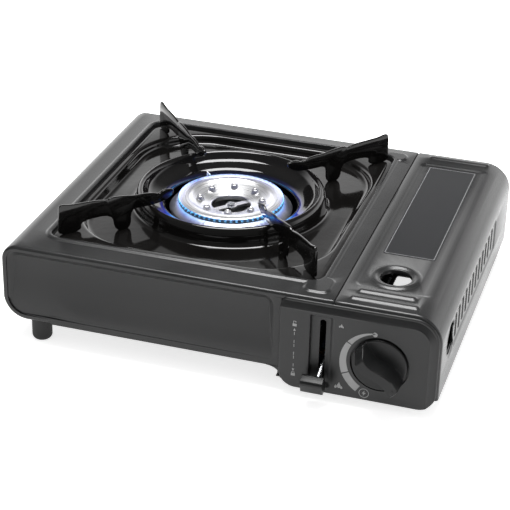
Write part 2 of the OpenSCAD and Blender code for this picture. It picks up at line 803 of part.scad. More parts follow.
// Outline of one support in (distance from the burner, height).
module support_outline() {
    tip = rim_z + support_h;
    out = support_reach;
    seat = collar_z + gap;
    foot_in_r = out - 19;
    polygon([
        [out, rim_z], [out - 0.6, tip - 1.2], [out - 2.4, tip], [out - 5.5, tip - 0.2],
        [out - 11, tip - 1.6], [out - 31, tip - 2.4], [out - 40, tip - 3.6],
        [out - 44, tip - 2.4], [out - 57, tip - 3.8], [out - 65.5, tip - 5.6],
        [out - 73, tip - 5.4], [out - 82, tip - 6.8], [out - 85.7, tip - 7.6],
        [out - 90, tip - 5.8], [out - 98, tip - 6.6], [out - 99.2, tip - 9.2],
        [out - 97.5, tip - 11.6], [out - 91, seat + 1.2], [collar_r - 7, seat],
        [collar_r + 2, seat], [out - 61.5, seat + 0.2], [out - 61, floor_z],
        [out - 48, floor_z], [out - 45.4, seat - 0.2], [foot_in_r, seat - 0.2],
        [foot_in_r, rim_z]
    ]);
}

module pan_support(angle) {
    color(enamel) at_burner() rotate([90, 0, angle])
        translate([0, 0, -support_t / 2]) linear_extrude(support_t) support_outline();
}

module pan_support_rear_right() pan_support(support_angle);
module pan_support_rear_left() pan_support(180 - support_angle);
module pan_support_front_left() pan_support(180 + support_angle);
module pan_support_front_right() pan_support(-support_angle);

// ---- burner ------------------------------------------------------------------

module burner_body() {
    low = base_top + 1.6;
    color(silver) at_burner() difference() {
        union() {
            rotate_extrude($fn = 96) polygon([
                [0, low], [neck_r, low], [neck_r, mix_z + 14], [burner_r - 8, ring_z - 22],
                [bowl_r - 3, ring_z - 14], [bowl_r, ring_z - 9.5],
                [bowl_r - 1.4, ring_z - 8], [burner_r + 0.4, ring_z - 4],
                [burner_r - 1, ring_z - 4], [burner_r - 3.4, ring_z - 6.5],
                [burner_r - 5, ring_z - 12], [burner_r - 14, ring_z - 19], [12, mix_z + 14],
                [12, low + 3], [0, low + 3]
            ]);
        }
        rotate([0, 0, mix_angle]) translate([8, 0, mix_z]) rotate([0, 90, 0])
            cylinder(h = neck_r + 10, r = mix_r);
    }
}

module burner_ring() {
    color(silver) at_burner() difference() {
        translate([0, 0, ring_z - 4]) linear_extrude(4) difference() {
            circle(burner_r, $fn = 96);
            circle(ring_in, $fn = 96);
        }
        for (i = [0 : port_count - 1]) rotate([0, 0, i * 360 / port_count])
            translate([ring_in + 2, -0.55, ring_z - 2.8]) cube([10, 1.1, 1.7]);
    }
}

module burner_cap() {
    color(silver) at_burner() {
        rotate_extrude($fn = 96) polygon([
            [burner_eye_r, eye_z], [burner_eye_r + 1, eye_z + 0.4],
            [dish_r - 2, ring_z - 2.2], [dish_r, ring_z - 0.4], [ring_in, ring_z],
            [ring_in, ring_z - 3.6], [dish_r, ring_z - 3.8], [burner_eye_r + 1, eye_z - 1.4],
            [burner_eye_r, eye_z - 1.4]
        ]);
        for (i = [0 : boss_count - 1]) rotate([0, 0, 12 + i * 360 / boss_count])
            translate([boss_circle_r, 0, eye_z + 1]) {
                cylinder(h = 4.6, r = 2);
                translate([0, 0, 4.6 - e]) cylinder(h = 0.8, r = 1.4);
            }
    }
}

module burner_crossbar() {
    color(silver) at_burner() {
        rotate([0, 0, 48]) {
            translate([0, 0, crossbar_z - 2.4]) linear_extrude(2.4)
                difference() {
                    union() {
                        pad(2 * burner_eye_r + 5, 5, 2.4);
                        circle(4.6);
                    }
                    circle(1.6);
                }
        }
        difference() {
            translate([0, 0, crossbar_z - 2.4]) linear_extrude(2.4) difference() {
                circle(burner_eye_r + 3);
                circle(burner_eye_r);
            }
        }
        // stem down to the middle of the bowl
        translate([0, 0, mix_z + 6]) linear_extrude(crossbar_z - 2.4 - mix_z - 6 + e)
            difference() {
                circle(3.6);
                circle(1.6);
            }
        translate([0, 0, mix_z + 6]) linear_extrude(2) difference() {
            pad(23.4, 5, 2);
            circle(1.6);
        }
    }
}

module burner_screw() {
    color(zinc) at_burner() translate([0, 0, crossbar_z]) screw(3.2, 14);
}

module burner_bracket() {
    color(zinc) at_burner() difference() {
        union() {
            translate([0, 0, base_top]) linear_extrude(1.6) pad(86, 40, 6);
            for (s = [-1, 1]) translate([s * 37, 0, base_top]) linear_extrude(4)
                difference() {
                    circle(4);
                    circle(1.6);
                }
        }
        for (s = [-1, 1]) translate([s * 37, 0, base_top - 1]) cylinder(h = 6, r = 1.6);
    }
}

module mixing_tube() {
    color(silver) at_burner() rotate([0, 0, mix_angle]) translate([neck_r - 3, 0, mix_z])
        rotate([0, 90, 0]) difference() {
            union() {
                cylinder(h = mix_tube_len + 3, r = mix_r);
                translate([0, 0, mix_tube_len - 9]) cylinder(h = 12, r = mix_r + 1.4);
            }
            translate([0, 0, -1]) cylinder(h = mix_tube_len + 6, r = mix_r - 1.4);
            for (a = [0, 90]) rotate([0, 0, a]) translate([-20, -4, mix_tube_len - 5])
                cube([40, 8, 5]);
        }
}

module air_shutter() {
    color(zinc) at_burner() rotate([0, 0, mix_angle])
        translate([neck_r + mix_tube_len - 12, 0, mix_z]) rotate([0, 90, 0]) difference() {
            cylinder(h = 9, r = mix_r + 2.4);
            translate([0, 0, -1]) cylinder(h = 12, r = mix_r + 1.4);
        }
}

module gas_jet() {
    color(brass) at_burner() rotate([0, 0, mix_angle])
        translate([neck_r + mix_tube_len - 4, 0, mix_z]) rotate([0, 90, 0]) {
            difference() {
                union() {
                    cylinder(h = 10, r = 3.2);
                    translate([0, 0, 4]) cylinder(h = 1.6, r = mix_r + 1.4);
                    translate([0, 0, 8]) rotate([0, 0, 30]) cylinder(h = 5, r = 5, $fn = 6);
                }
                translate([0, 0, -1]) cylinder(h = 9, r = 0.8);
                translate([0, 0, 7]) cylinder(h = 10, r = pipe_r);
            }
        }
}

module gas_pipe() {
    color("#b98a5a") tube(pipe_points, pipe_r, 12);
}

// ---- ignition ------------------------------------------------------------------

module spark_electrode() {
    color("#e8e4da") at_burner() rotate([0, 0, electrode_a]) translate([electrode_r, 0, 0]) {
        translate([0, 0, ceramic_z0]) cylinder(h = ceramic_h, r = ceramic_r);
        translate([0, 0, clip_z + 1.6]) cylinder(h = 3, r = ceramic_r + 1.2);
    }
    color(zinc) at_burner() rotate([0, 0, electrode_a]) translate([electrode_r, 0, 0]) {
        translate([0, 0, ceramic_z0 + ceramic_h - 1])
            cylinder(h = ring_z + 0.4 - ceramic_z0 - ceramic_h, r = 0.7);
        translate([0.9, 0, ring_z - 1.2]) rotate([0, -88, 0]) cylinder(h = 6.4, r = 0.6);
    }
}

module electrode_bracket() {
    color(zinc) at_burner() rotate([0, 0, electrode_a]) difference() {
        union() {
            translate([neck_r - 4, -5, clip_z]) cube([electrode_r - neck_r + 9, 10, clip_t]);
            translate([electrode_r, 0, clip_z]) cylinder(h = clip_t, r = 5);
        }
        translate([electrode_r, 0, clip_z - 2]) cylinder(h = 6, r = ceramic_r);
        translate([0, 0, clip_z - 2]) cylinder(h = 6, r = bowl_at_clip + 0.1);
    }
}

module ignition_lead() {
    color("#202020") tube(lead_points, lead_r, 8);
}

module piezo_igniter() {
    color("#202020") {
        box([knob_x - 16, front_y + 9, tray_top], [knob_x + 6, front_y + 20.5, tray_top + 10]);
        translate([knob_x + 6 - e, front_y + 15, tray_top + 5]) rotate([0, 90, 0])
            cylinder(h = 5, r = 3);
    }
}

// ---- gas regulator and knob ------------------------------------------------------

module regulator_body() {
    color(zinc) difference() {
        union() {
            translate([knob_x, reg_y1, can_z]) rotate([90, 0, 0])
                cylinder(h = reg_y1 - reg_y0 - 6, r = 17);
            box([knob_x - 15, reg_y0 + 6, tray_top + 10.4], [knob_x + 15, reg_y0 + 22, can_z]);
            translate([knob_x, reg_y0 + 7, knob_z]) rotate([90, 0, 0]) cylinder(h = 11, r = 8);
            translate([knob_x, inlet_y, can_z]) rotate([90, 0, 0])
                cylinder(h = inlet_y - reg_y1 + 1, r = 9);
            translate([knob_x - 18, pipe_points[0].y, pipe_points[0].z]) rotate([0, 90, 0])
                cylinder(h = 6, r = 5);
        }
        translate([knob_x, reg_y0 + 24, knob_z]) rotate([90, 0, 0])
            cylinder(h = 30, r = spindle_d / 2 + run_gap);
        translate([knob_x, inlet_y + 1, can_z]) rotate([90, 0, 0])
            cylinder(h = inlet_deep + 1, r = inlet_r);
        translate([knob_x, inlet_y, can_z]) rotate([90, 0, 0])
            cylinder(h = inlet_deep + seal_t, r = inlet_r - 1);
        translate([knob_x - 19, pipe_points[0].y, pipe_points[0].z]) rotate([0, 90, 0])
            cylinder(h = 4, r = pipe_r);
        for (p = reg_screw_spots)
            translate([p.x, reg_y1 - 8, p.y]) rotate([-90, 0, 0]) cylinder(h = 10, r = 1.5);
    }
}

module regulator_cover() {
    color(zinc) along_y(reg_y1, reg_y1 + 1.6) difference() {
        translate([knob_x, can_z]) circle(17.6);
        translate([knob_x, can_z]) circle(9);
        for (p = reg_screw_spots) translate(p) circle(1.5);
    }
}

module regulator_screws() {
    color(zinc) for (p = reg_screw_spots)
        translate([p.x, reg_y1 + 1.6, p.y]) rotate([-90, 0, 0]) screw(3, 8);
}

module regulator_bracket() {
    y0 = front_y + wall_set + wall_t;
    color(steel) {
        along_y(y0, y0 + 1.2) difference() {
            round_rect(knob_x - 24, knob_z - 24, knob_x + 24, knob_z + 12, 2, 2, 2, 2);
            translate([knob_x, knob_z]) circle(8.2);
            for (p = bracket_screw_spots) translate(p) circle(1.6);
        }
        for (s = [-1, 1]) box(
            [knob_x + s * 15.6 - 0.6, y0, tray_top + 11],
            [knob_x + s * 15.6 + 0.6, reg_y0 + 13, can_z - 8.4]);
    }
}

module inlet_seal() {
    y1 = inlet_y - inlet_deep;
    color("#202020") along_y(y1 - seal_t, y1) difference() {
        translate([knob_x, can_z]) circle(inlet_r - 1);
        translate([knob_x, can_z]) circle(2.6);
    }
}

module collar_guide() {
    y0 = inlet_y + 3;
    color(steel) {
        along_y(y0, y0 + 1.2) difference() {
            round_rect(knob_x - 26, tray_top + 2.6, knob_x + 26, can_z + 3, 2, 2, 2, 2);
            translate([knob_x, can_z]) circle(17.5);
            flat(knob_x - 17.5, can_z, knob_x + 17.5, can_z + 10);
        }
        for (s = [-1, 1]) box(
            [knob_x + s * 24 - 2, front_y + wall_set + wall_t, tray_top + 2.6],
            [knob_x + s * 24 + 2, y0 + e, tray_top + 3.8]);
    }
}

module valve_spindle() {
    color(zinc) {
        translate([knob_x, reg_y0 + 23, knob_z]) rotate([90, 0, 0])
            cylinder(h = reg_y0 + 23 - face_y + 8, r = spindle_d / 2);
    }
}

module control_knob() {
    front = face_y - knob_proud;
    skirt_y = face_y + 0.6;
    color("#343536") difference() {
        union() {
            translate([knob_x, skirt_y, knob_z]) rotate([90, 0, 0]) {
                cylinder(h = 1.4, r = knob_d / 2);
                translate([0, 0, 1.4 - e])
                    cylinder(h = 0.6 + e, r1 = knob_d / 2, r2 = knob_d / 2 - 0.6);
            }
            // grip bar across the flat disc
            translate([knob_x, 0, knob_z]) rotate([0, -knob_angle, 0]) along_y(front, skirt_y)
                round_rect(-knob_d / 2 + 0.8, -5, knob_d / 2 - 0.8, 5, 4.8, 4.8, 4.8, 4.8);
        }
        translate([knob_x, skirt_y + 1, knob_z]) rotate([90, 0, 0])
            cylinder(h = 9.6, r = spindle_d / 2);
    }
}

// ---- locking lever and cartridge carriage ------------------------------------------

// Place a child on the lever: x along the shaft, y out along the arm, z across it.
module on_lever() {
    translate([0, lever_y, lever_axis_z]) rotate([lever_rest_a, 0, 0]) mirror([0, 1, 0]) children();
}

module lock_lever() {
    color(zinc) on_lever() along_x(lever_x - lever_t / 2, lever_x + lever_t / 2) difference() {
        union() {
            circle(8);
            flat(0, -lever_h / 2, lever_reach + 1.6, lever_h / 2);
        }
        circle(shaft_r);
    }
}

module lever_knob() {
    color("#343536") on_lever() difference() {
        translate([lever_x - 3 - lever_knob_w / 2, 0, 0]) rotate([90, 0, 90])
            linear_extrude(lever_knob_w)
                round_rect(lever_reach - 5, -lever_knob_h / 2, lever_reach + 4.6,
                    lever_knob_h / 2, 2, 3, 3, 2);
        box([lever_x - lever_t / 2, 0, -lever_h / 2],
            [lever_x + lever_t / 2, lever_reach + 1.6, lever_h / 2]);
    }
}

module lever_shaft() {
    color(zinc) translate([lever_x - 9, lever_y, lever_axis_z]) rotate([0, 90, 0])
        cylinder(h = arm_x0 + arm_t - lever_x + 9, r = shaft_r);
}

// The arm stands up from the shaft and leans forward half the swing.
module drive_arm() {
    color(zinc) translate([0, lever_y, lever_axis_z]) rotate([lever_swing / 2, 0, 0]) {
        along_x(arm_x0, arm_x0 + arm_t) difference() {
            union() {
                circle(5.4);
                flat(-3, 0, 3, arm_r);
                translate([0, arm_r]) circle(3);
            }
            circle(shaft_r);
        }
        translate([arm_x0 + arm_t - e, 0, arm_r]) rotate([0, 90, 0])
            cylinder(h = fork_x1 - arm_x0 - arm_t + 0.6, d = fork_pin_d);
    }
}

module lever_bracket() {
    x0 = lever_x - 8;
    y0 = front_y + wall_set + wall_t;
    color(steel) {
        along_x(x0, x0 + 1.4) difference() {
            union() {
                flat(y0, lever_axis_z - 9, lever_y, lever_axis_z + 9);
                translate([lever_y, lever_axis_z]) circle(9);
            }
            translate([lever_y, lever_axis_z]) circle(shaft_r + run_gap);
        }
        box([x0 - 9, y0, lever_axis_z - 9], [x0 + e, y0 + 1.4, lever_axis_z + 9]);
    }
}

module cartridge_carriage() {
    z0 = tray_top + gap;
    x0 = fork_x0;
    color(zinc) difference() {
        union() {
            box([x0, rest_pin_y - 6, z0], [knob_x - 16, inlet_y + 26, z0 + plate_t]);
            box([x0, inlet_y + 14, z0], [carriage_x1, can_y1 + 2, z0 + plate_t]);
            // fork that the drive arm's pin works in
            box([x0, rest_pin_y - 6, z0], [fork_x1, rest_pin_y + 6, rest_pin_z + 3]);
            // stop behind the cartridge
            box([knob_x - 16, can_y1 + 1, z0], [knob_x + 16, can_y1 + 2, z0 + 26]);
        }
        box([x0 - 1, rest_pin_y - fork_pin_d / 2 - 0.1, rest_pin_z - fork_pin_d / 2 - 0.6],
            [fork_x1 + 1, rest_pin_y + fork_pin_d / 2 + 0.1, rest_pin_z + 10]);
        for (p = rivet_spots) translate([p.x, p.y - carriage_travel / 2, z0 - 1])
            linear_extrude(4) pad(4 + 2 * gap, 4 + carriage_travel + 2 * gap, 2 + gap - e);
        translate([window_x, window_y, z0 - 1]) linear_extrude(4) pad(22, 36, 2);
    }
}

module carriage_rivets() {
    z0 = tray_top + gap + plate_t;
    color(zinc) for (p = rivet_spots) translate([p.x, p.y, 0]) {
        translate([0, 0, bay_floor]) cylinder(h = tray_t + e, r = 1.5);
        translate([0, 0, tray_top]) cylinder(h = z0 - tray_top + gap + e, r = 2);
        translate([0, 0, z0 + gap]) cylinder(h = 0.8, r = 4);
    }
}

// ---- lid -------------------------------------------------------------------------

module lid_outline(inset = 0) {
    round_rect(lid_x0 + inset, lid_bottom, right_x - inset, body_h - inset,
        0.2, 0.2, lid_r - inset, 0.4);
}

module lid_knuckle(y) {
    along_y(y, y + lid_knuckle_len) difference() {
        union() {
            translate([hinge_x, hinge_z]) circle(hinge_knuckle_r);
            flat(hinge_x, hinge_z - hinge_knuckle_r, right_x - lid_t + e,
                hinge_z + hinge_knuckle_r);
        }
        translate([hinge_x, hinge_z]) circle(hinge_pin_d / 2 + run_gap);
    }
}

module canister_lid() {
    hole_y = front_y + finger_hole_y;
    hole_x = lid_x0 + finger_hole_x;
    color(steel) {
        difference() {
            along_y(front_y, back_y) difference() {
                lid_outline();
                flat(lid_x0 - 1, lid_bottom - 1, right_x - lid_t - lid_r, body_h - lid_t);
                flat(lid_x0 - 1, lid_bottom - 1, right_x - lid_t, body_h - lid_t - lid_r);
                translate([right_x - lid_r, body_h - lid_r]) circle(lid_r - lid_t);
            }
            translate([hole_x, hole_y, body_h - 5]) cylinder(h = 10, d = finger_hole_d);
            for (i = [0 : vent_count - 1])
                translate([right_x - 5, vent_mid + (i - (vent_count - 1) / 2) * vent_pitch, vent_z])
                    rotate([90, 0, 90]) linear_extrude(10) pad(vent_w, vent_h, vent_w / 2 - 0.1);
            translate([right_x - 5, side_hole_y, vent_z]) rotate([0, 90, 0])
                cylinder(h = 10, d = side_hole_d);
        }
        // pressed funnel under the finger hole
        translate([hole_x, hole_y, body_h - lid_t - 2.4]) linear_extrude(2.4 + e) difference() {
            circle(finger_hole_d / 2 + lid_t);
            circle(finger_hole_d / 2);
        }
        // end flanges
        for (y = [front_y, back_y - lid_t]) along_y(y, y + lid_t) difference() {
            lid_outline();
            lid_outline(lid_flange);
            flat(lid_x0 - 1, lid_bottom - 1, lid_x0 + lid_flange + 1, body_h - lid_flange);
            flat(lid_x0 - 1, lid_bottom - 1, right_x - lid_flange, body_h - lid_r);
        }
        for (y = [front_y + lid_knuckle_y, back_y - lid_knuckle_y - lid_knuckle_len])
            lid_knuckle(y);
    }
}

module lid_pins() {
    reach = lid_knuckle_len + gap + ear_len;
    color(zinc) {
        for (y = [front_y + lid_knuckle_y + 0.4, back_y - lid_knuckle_y - reach])
            along_y(y, y + reach - 0.4) translate([hinge_x, hinge_z]) circle(hinge_pin_d / 2);
    }
}

// ---- the nodes -------------------------------------------------------------------

case_wrap();
base_plate();
base_tray();
rear_panel();
front_fascia();
bay_front_wall();
control_housing();
partition();
heat_plate();
case_screws();
foot_front_left();
foot_front_right();
foot_rear_left();
foot_rear_right();
drip_pan();
pan_collar();
pan_support_front_left();
pan_support_front_right();
pan_support_rear_left();
pan_support_rear_right();
burner_body();
burner_ring();
burner_cap();
burner_crossbar();
burner_screw();
burner_bracket();
mixing_tube();
air_shutter();
gas_jet();
gas_pipe();
spark_electrode();
electrode_bracket();
ignition_lead();
piezo_igniter();
regulator_body();
regulator_cover();
regulator_screws();
regulator_bracket();
inlet_seal();
collar_guide();
valve_spindle();
control_knob();
lever_bracket();
lever_shaft();
lock_lever();
lever_knob();
drive_arm();
cartridge_carriage();
carriage_rivets();
canister_lid();
lid_pins();
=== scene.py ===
"""Butane cassette stove: detailed pieces, finishes, flames as lamps, lights and camera."""
import math

import bmesh
import bpy
import numpy as np
from mathutils import Matrix, Vector
from mathutils.geometry import delaunay_2d_cdt


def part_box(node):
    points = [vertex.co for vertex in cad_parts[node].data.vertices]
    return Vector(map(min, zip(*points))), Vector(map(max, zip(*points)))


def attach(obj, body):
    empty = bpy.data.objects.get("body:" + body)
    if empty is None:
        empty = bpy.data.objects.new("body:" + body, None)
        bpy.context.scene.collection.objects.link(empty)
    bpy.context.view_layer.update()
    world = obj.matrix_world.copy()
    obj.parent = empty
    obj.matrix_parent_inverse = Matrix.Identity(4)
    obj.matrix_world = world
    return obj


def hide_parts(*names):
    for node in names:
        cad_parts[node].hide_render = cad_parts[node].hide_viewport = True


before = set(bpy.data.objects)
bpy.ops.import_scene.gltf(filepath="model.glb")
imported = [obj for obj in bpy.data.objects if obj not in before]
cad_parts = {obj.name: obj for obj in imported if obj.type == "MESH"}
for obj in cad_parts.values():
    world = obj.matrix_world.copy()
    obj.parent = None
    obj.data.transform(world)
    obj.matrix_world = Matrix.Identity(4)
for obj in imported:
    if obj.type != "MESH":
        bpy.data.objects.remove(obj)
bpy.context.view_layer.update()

bl_info = {
    "name": "Cassette stove",
    "version": (1, 0, 0),
    "blender": (4, 5, 0),
    "location": "View3D > Sidebar > Stove",
    "description": "Pressed, moulded and cast pieces of a butane cassette stove",
    "category": "Object",
}

MM = 0.001

# ---- places from the model, in millimetres -----------------------------------


def node_box(node):
    """Lowest and highest corner of a node, in millimetres."""
    low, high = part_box(node)
    return [c / MM for c in low], [c / MM for c in high]


CASE_LOW, CASE_HIGH = node_box("case_wrap")
LID_LOW, LID_HIGH = node_box("canister_lid")
PAN_LOW, PAN_HIGH = node_box("drip_pan")
HOUSE_LOW, HOUSE_HIGH = node_box("control_housing")
HOUSE_LOW[0] = node_box("front_fascia")[1][0]
KNOB_LOW, KNOB_HIGH = node_box("control_knob")
RING_Z = node_box("burner_ring")[1][2]
FRONT_Y, BACK_Y = CASE_LOW[1], CASE_HIGH[1]
MID_Y = (FRONT_Y + BACK_Y) / 2
LEFT_X = CASE_LOW[0]
RIGHT_X = LID_HIGH[0]
TOP_Z = LID_HIGH[2]
UNDER_Z = CASE_LOW[2]
PAN_X = (PAN_LOW[0] + PAN_HIGH[0]) / 2
PAN_Y = (PAN_LOW[1] + PAN_HIGH[1]) / 2
PAN_GAP = 0.6
OPEN_X0, OPEN_X1 = PAN_LOW[0] - PAN_GAP, PAN_HIGH[0] + PAN_GAP
OPEN_Y0, OPEN_Y1 = PAN_LOW[1] - PAN_GAP, PAN_HIGH[1] + PAN_GAP
OPENING = (OPEN_X0, OPEN_Y0, OPEN_X1, OPEN_Y1)
OPEN_R = 10
RIM_Z = TOP_Z - 1.5
PAN_DEPTH = 7.5
FLOOR_Z = RIM_Z - PAN_DEPTH
COLLAR_Z = node_box("pan_collar")[1][2]
FACE_Y = HOUSE_LOW[1]
KNOB_X = (KNOB_LOW[0] + KNOB_HIGH[0]) / 2
KNOB_Z = (KNOB_LOW[2] + KNOB_HIGH[2]) / 2
HOLE_X, HOLE_Y = LID_LOW[0] + 32.4, FRONT_Y + 53
LEVER_X = HOUSE_LOW[0] + 32


# ---- flat outlines, sheets and skins -----------------------------------------


def rounded(x0, y0, x1, y1, radii, steps=8, side=8):
    """Points counter-clockwise round a rounded rectangle, as many for every size."""
    ll, lr, ur, ul = radii if hasattr(radii, "__len__") else (radii,) * 4
    corners = [
        (x1 - lr, y0 + lr, lr, -90),
        (x1 - ur, y1 - ur, ur, 0),
        (x0 + ul, y1 - ul, ul, 90),
        (x0 + ll, y0 + ll, ll, 180),
    ]
    arcs = []
    for cx, cy, r, start in corners:
        turns = [math.radians(start + 90 * i / steps) for i in range(steps + 1)]
        arcs.append([(cx + r * math.cos(t), cy + r * math.sin(t)) for t in turns])
    points = []
    for k, arc in enumerate(arcs):
        points += arc
        a, b = arc[-1], arcs[(k + 1) % 4][0]
        for j in range(1, side):
            w = j / side
            points.append((a[0] + (b[0] - a[0]) * w, a[1] + (b[1] - a[1]) * w))
    return points


def grown(box, d, radii, steps=8, side=8):
    """Rounded rectangle that lies a distance outside a box."""
    x0, y0, x1, y1 = box
    return rounded(x0 - d, y0 - d, x1 + d, y1 + d, radii, steps, side)


def circle(x, y, r, count):
    """Points counter-clockwise round a circle."""
    turns = [2 * math.pi * i / count for i in range(count)]
    return [(x + r * math.cos(t), y + r * math.sin(t)) for t in turns]


def arc_points(x, y, r, start, end, count=12):
    """Points along part of a circle, between two angles in degrees."""
    turns = [math.radians(start + (end - start) * i / count) for i in range(count + 1)]
    return [(x + r * math.cos(t), y + r * math.sin(t)) for t in turns]


def distance_round_rect(x, y, x0, y0, x1, y1, r):
    """Signed distance to a rounded rectangle, negative inside."""
    qx = np.abs(x - (x0 + x1) / 2) - (x1 - x0) / 2 + r
    qy = np.abs(y - (y0 + y1) / 2) - (y1 - y0) / 2 + r
    outside = np.hypot(np.maximum(qx, 0), np.maximum(qy, 0))
    return outside + np.minimum(np.maximum(qx, qy), 0) - r


def ease(x, low, high):
    """Smooth step from 0 at low to 1 at high."""
    t = np.clip((x - low) / (high - low), 0, 1)
    return t * t * (3 - 2 * t)


def inside(points, polygon):
    """Which points lie in a polygon."""
    x, y = points[:, 0], points[:, 1]
    result = np.zeros(len(points), bool)
    for (ax, ay), (bx, by) in zip(polygon, polygon[1:] + polygon[:1]):
        if ay == by:
            continue
        crosses = (ay > y) != (by > y)
        result ^= crosses & (x < ax + (y - ay) * (bx - ax) / (by - ay))
    return result


def flat_sheet(outer, loops=(), holes=(), lines=()):
    """Triangles of a flat sheet whose edges follow every loop and line given."""
    points, edges = [], []

    def add(chain, closed):
        base = len(points)
        points.extend(Vector(p) for p in chain)
        count = len(chain)
        edges.extend((base + i, base + i + 1) for i in range(count - 1))
        if closed:
            edges.append((base + count - 1, base))

    for loop in [outer, *loops, *holes]:
        add(loop, True)
    for line in lines:
        add(line, False)
    made = delaunay_2d_cdt(points, edges, [], 0, 1e-4)
    flat = np.array([(p.x, p.y) for p in made[0]])
    tris = np.array([tuple(t) for t in made[2]])
    middle = flat[tris].mean(axis=1)
    keep = inside(middle, list(outer))
    for hole in holes:
        keep &= ~inside(middle, list(hole))
    tris = tris[keep]
    a, b, c = flat[tris[:, 0]], flat[tris[:, 1]], flat[tris[:, 2]]
    turn = (b[:, 0] - a[:, 0]) * (c[:, 1] - a[:, 1]) - (b[:, 1] - a[:, 1]) * (c[:, 0] - a[:, 0])
    tris[turn < 0] = tris[turn < 0][:, ::-1]
    return flat, [tuple(int(i) for i in t) for t in tris]


def loft(rings, closed=True):
    """Quads between rows of points, each row as long as the next."""
    count = len(rings[0])
    points = [tuple(p) for ring in rings for p in ring]
    faces = []
    for k in range(len(rings) - 1):
        for i in range(count if closed else count - 1):
            j = (i + 1) % count
            faces.append((k * count + i, k * count + j, (k + 1) * count + j, (k + 1) * count + i))
    return points, faces


def joined(*parts):
    """One list of points and faces from several."""
    points, faces = [], []
    for part_points, part_faces in parts:
        base = len(points)
        points += [tuple(p) for p in part_points]
        faces += [tuple(i + base for i in face) for face in part_faces]
    return points, faces


def make_piece(name, points, faces, merge=0.02, outward=None, smooth=40):
    """A new object at the origin from points in millimetres."""
    mesh = bpy.data.meshes.new(name)
    mesh.from_pydata([(p[0] * MM, p[1] * MM, p[2] * MM) for p in points], [], faces)
    piece = bpy.data.objects.new(name, mesh)
    bpy.context.collection.objects.link(piece)
    tidy_mesh(mesh, merge, outward)
    mesh.set_sharp_from_angle(angle=math.radians(smooth))
    return piece


def tidy_mesh(mesh, merge, outward=None):
    """Merge doubles, drop flat faces and turn the faces outwards."""
    work = bmesh.new()
    work.from_mesh(mesh)
    bmesh.ops.remove_doubles(work, verts=work.verts, dist=merge * MM)
    bmesh.ops.dissolve_degenerate(work, dist=1e-7, edges=work.edges)
    bmesh.ops.recalc_face_normals(work, faces=work.faces)
    if outward is not None:
        place, way = Vector(outward[0]) * MM, Vector(outward[1])
        near = min(work.faces, key=lambda f: (f.calc_center_median() - place).length)
        if near.normal.dot(way) < 0:
            bmesh.ops.reverse_faces(work, faces=work.faces)
    for face in work.faces:
        face.smooth = True
    work.to_mesh(mesh)
    work.free()


def bake(piece, smooth):
    """Apply the piece's modifiers, with edges sharp above an angle."""
    graph = bpy.context.evaluated_depsgraph_get()
    mesh = bpy.data.meshes.new_from_object(piece.evaluated_get(graph))
    old = piece.data
    piece.modifiers.clear()
    piece.data = mesh
    bpy.data.meshes.remove(old)
    mesh.name = piece.name
    for polygon in mesh.polygons:
        polygon.use_smooth = True
    mesh.set_sharp_from_angle(angle=math.radians(smooth))
    return piece


def thicken(piece, thickness, smooth=40, offset=-1, even=True):
    """Give a skin its sheet thickness."""
    wall = piece.modifiers.new("Sheet", "SOLIDIFY")
    wall.thickness = thickness * MM
    wall.offset = offset
    wall.use_even_offset = even
    wall.use_quality_normals = True
    return bake(piece, smooth)


def soften(piece, width, segments=2, angle=35, smooth=50):
    """Round the sharp edges of a piece."""
    edge = piece.modifiers.new("Edge", "BEVEL")
    edge.width = width * MM
    edge.segments = segments
    edge.limit_method = "ANGLE"
    edge.angle_limit = math.radians(angle)
    edge.harden_normals = False
    return bake(piece, smooth)


def block(outline, low, high, axis):
    """A closed prism of a flat outline, along y or z."""
    if axis == "y":
        rings = [[(a, w, b) for a, b in outline] for w in (low, high)]
    else:
        rings = [[(a, b, w) for a, b in outline] for w in (low, high)]
    return capped(rings)


def capped(rings):
    """Quads between closed rows of points, with a face over each end."""
    points, faces = loft(rings)
    count = len(rings[0])
    faces.append(tuple(range(count))[::-1])
    faces.append(tuple(range(len(points) - count, len(points))))
    return points, faces


def spun(profile, x, y, count=96):
    """A closed or open profile of (radius, height) turned about an upright axis."""
    rings = []
    for i in range(count):
        t = 2 * math.pi * i / count
        rings.append([(x + r * math.cos(t), y + r * math.sin(t), z) for r, z in profile])
    rings.append(rings[0])
    return loft(rings, closed=False)


def put_on(piece, body, slot, finish, *nodes):
    """Finish a piece: material, body and the nodes that it stands for. The slot is not used."""
    if not piece.data.materials:
        piece.data.materials.append(FINISHES[finish])
    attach(piece, body)
    if nodes:
        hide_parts(*nodes)
    return piece


def copy_of(node):
    """A merged copy of a node's mesh, in world place."""
    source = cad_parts[node]
    mesh = source.data.copy()
    mesh.materials.clear()
    name = node + ".dressed"
    mesh.name = name
    piece = bpy.data.objects.new(name, mesh)
    bpy.context.collection.objects.link(piece)
    work = bmesh.new()
    work.from_mesh(mesh)
    bmesh.ops.remove_doubles(work, verts=work.verts, dist=1e-6)
    bmesh.ops.dissolve_degenerate(work, dist=1e-7, edges=work.edges)
    bmesh.ops.dissolve_limit(
        work, angle_limit=math.radians(0.5), verts=work.verts, edges=work.edges)
    for face in work.faces:
        face.smooth = True
    work.to_mesh(mesh)
    work.free()
    mesh.set_sharp_from_angle(angle=math.radians(32))
    return piece


# ---- finishes ----------------------------------------------------------------


def add_node(tree, kind, into=None, **settings):
    """A node with its settings, and a value or a link for each input named in into."""
    made = tree.nodes.new(kind)
    for key, value in settings.items():
        setattr(made, key, value)
    for key, value in (into or {}).items():
        if isinstance(value, bpy.types.NodeSocket):
            tree.links.new(value, made.inputs[key])
        else:
            made.inputs[key].default_value = value
    return made


def maths(tree, operation, *values):
    """Output of a maths node on values or links."""
    made = add_node(tree, "ShaderNodeMath", dict(enumerate(values)), operation=operation)
    return made.outputs[0]


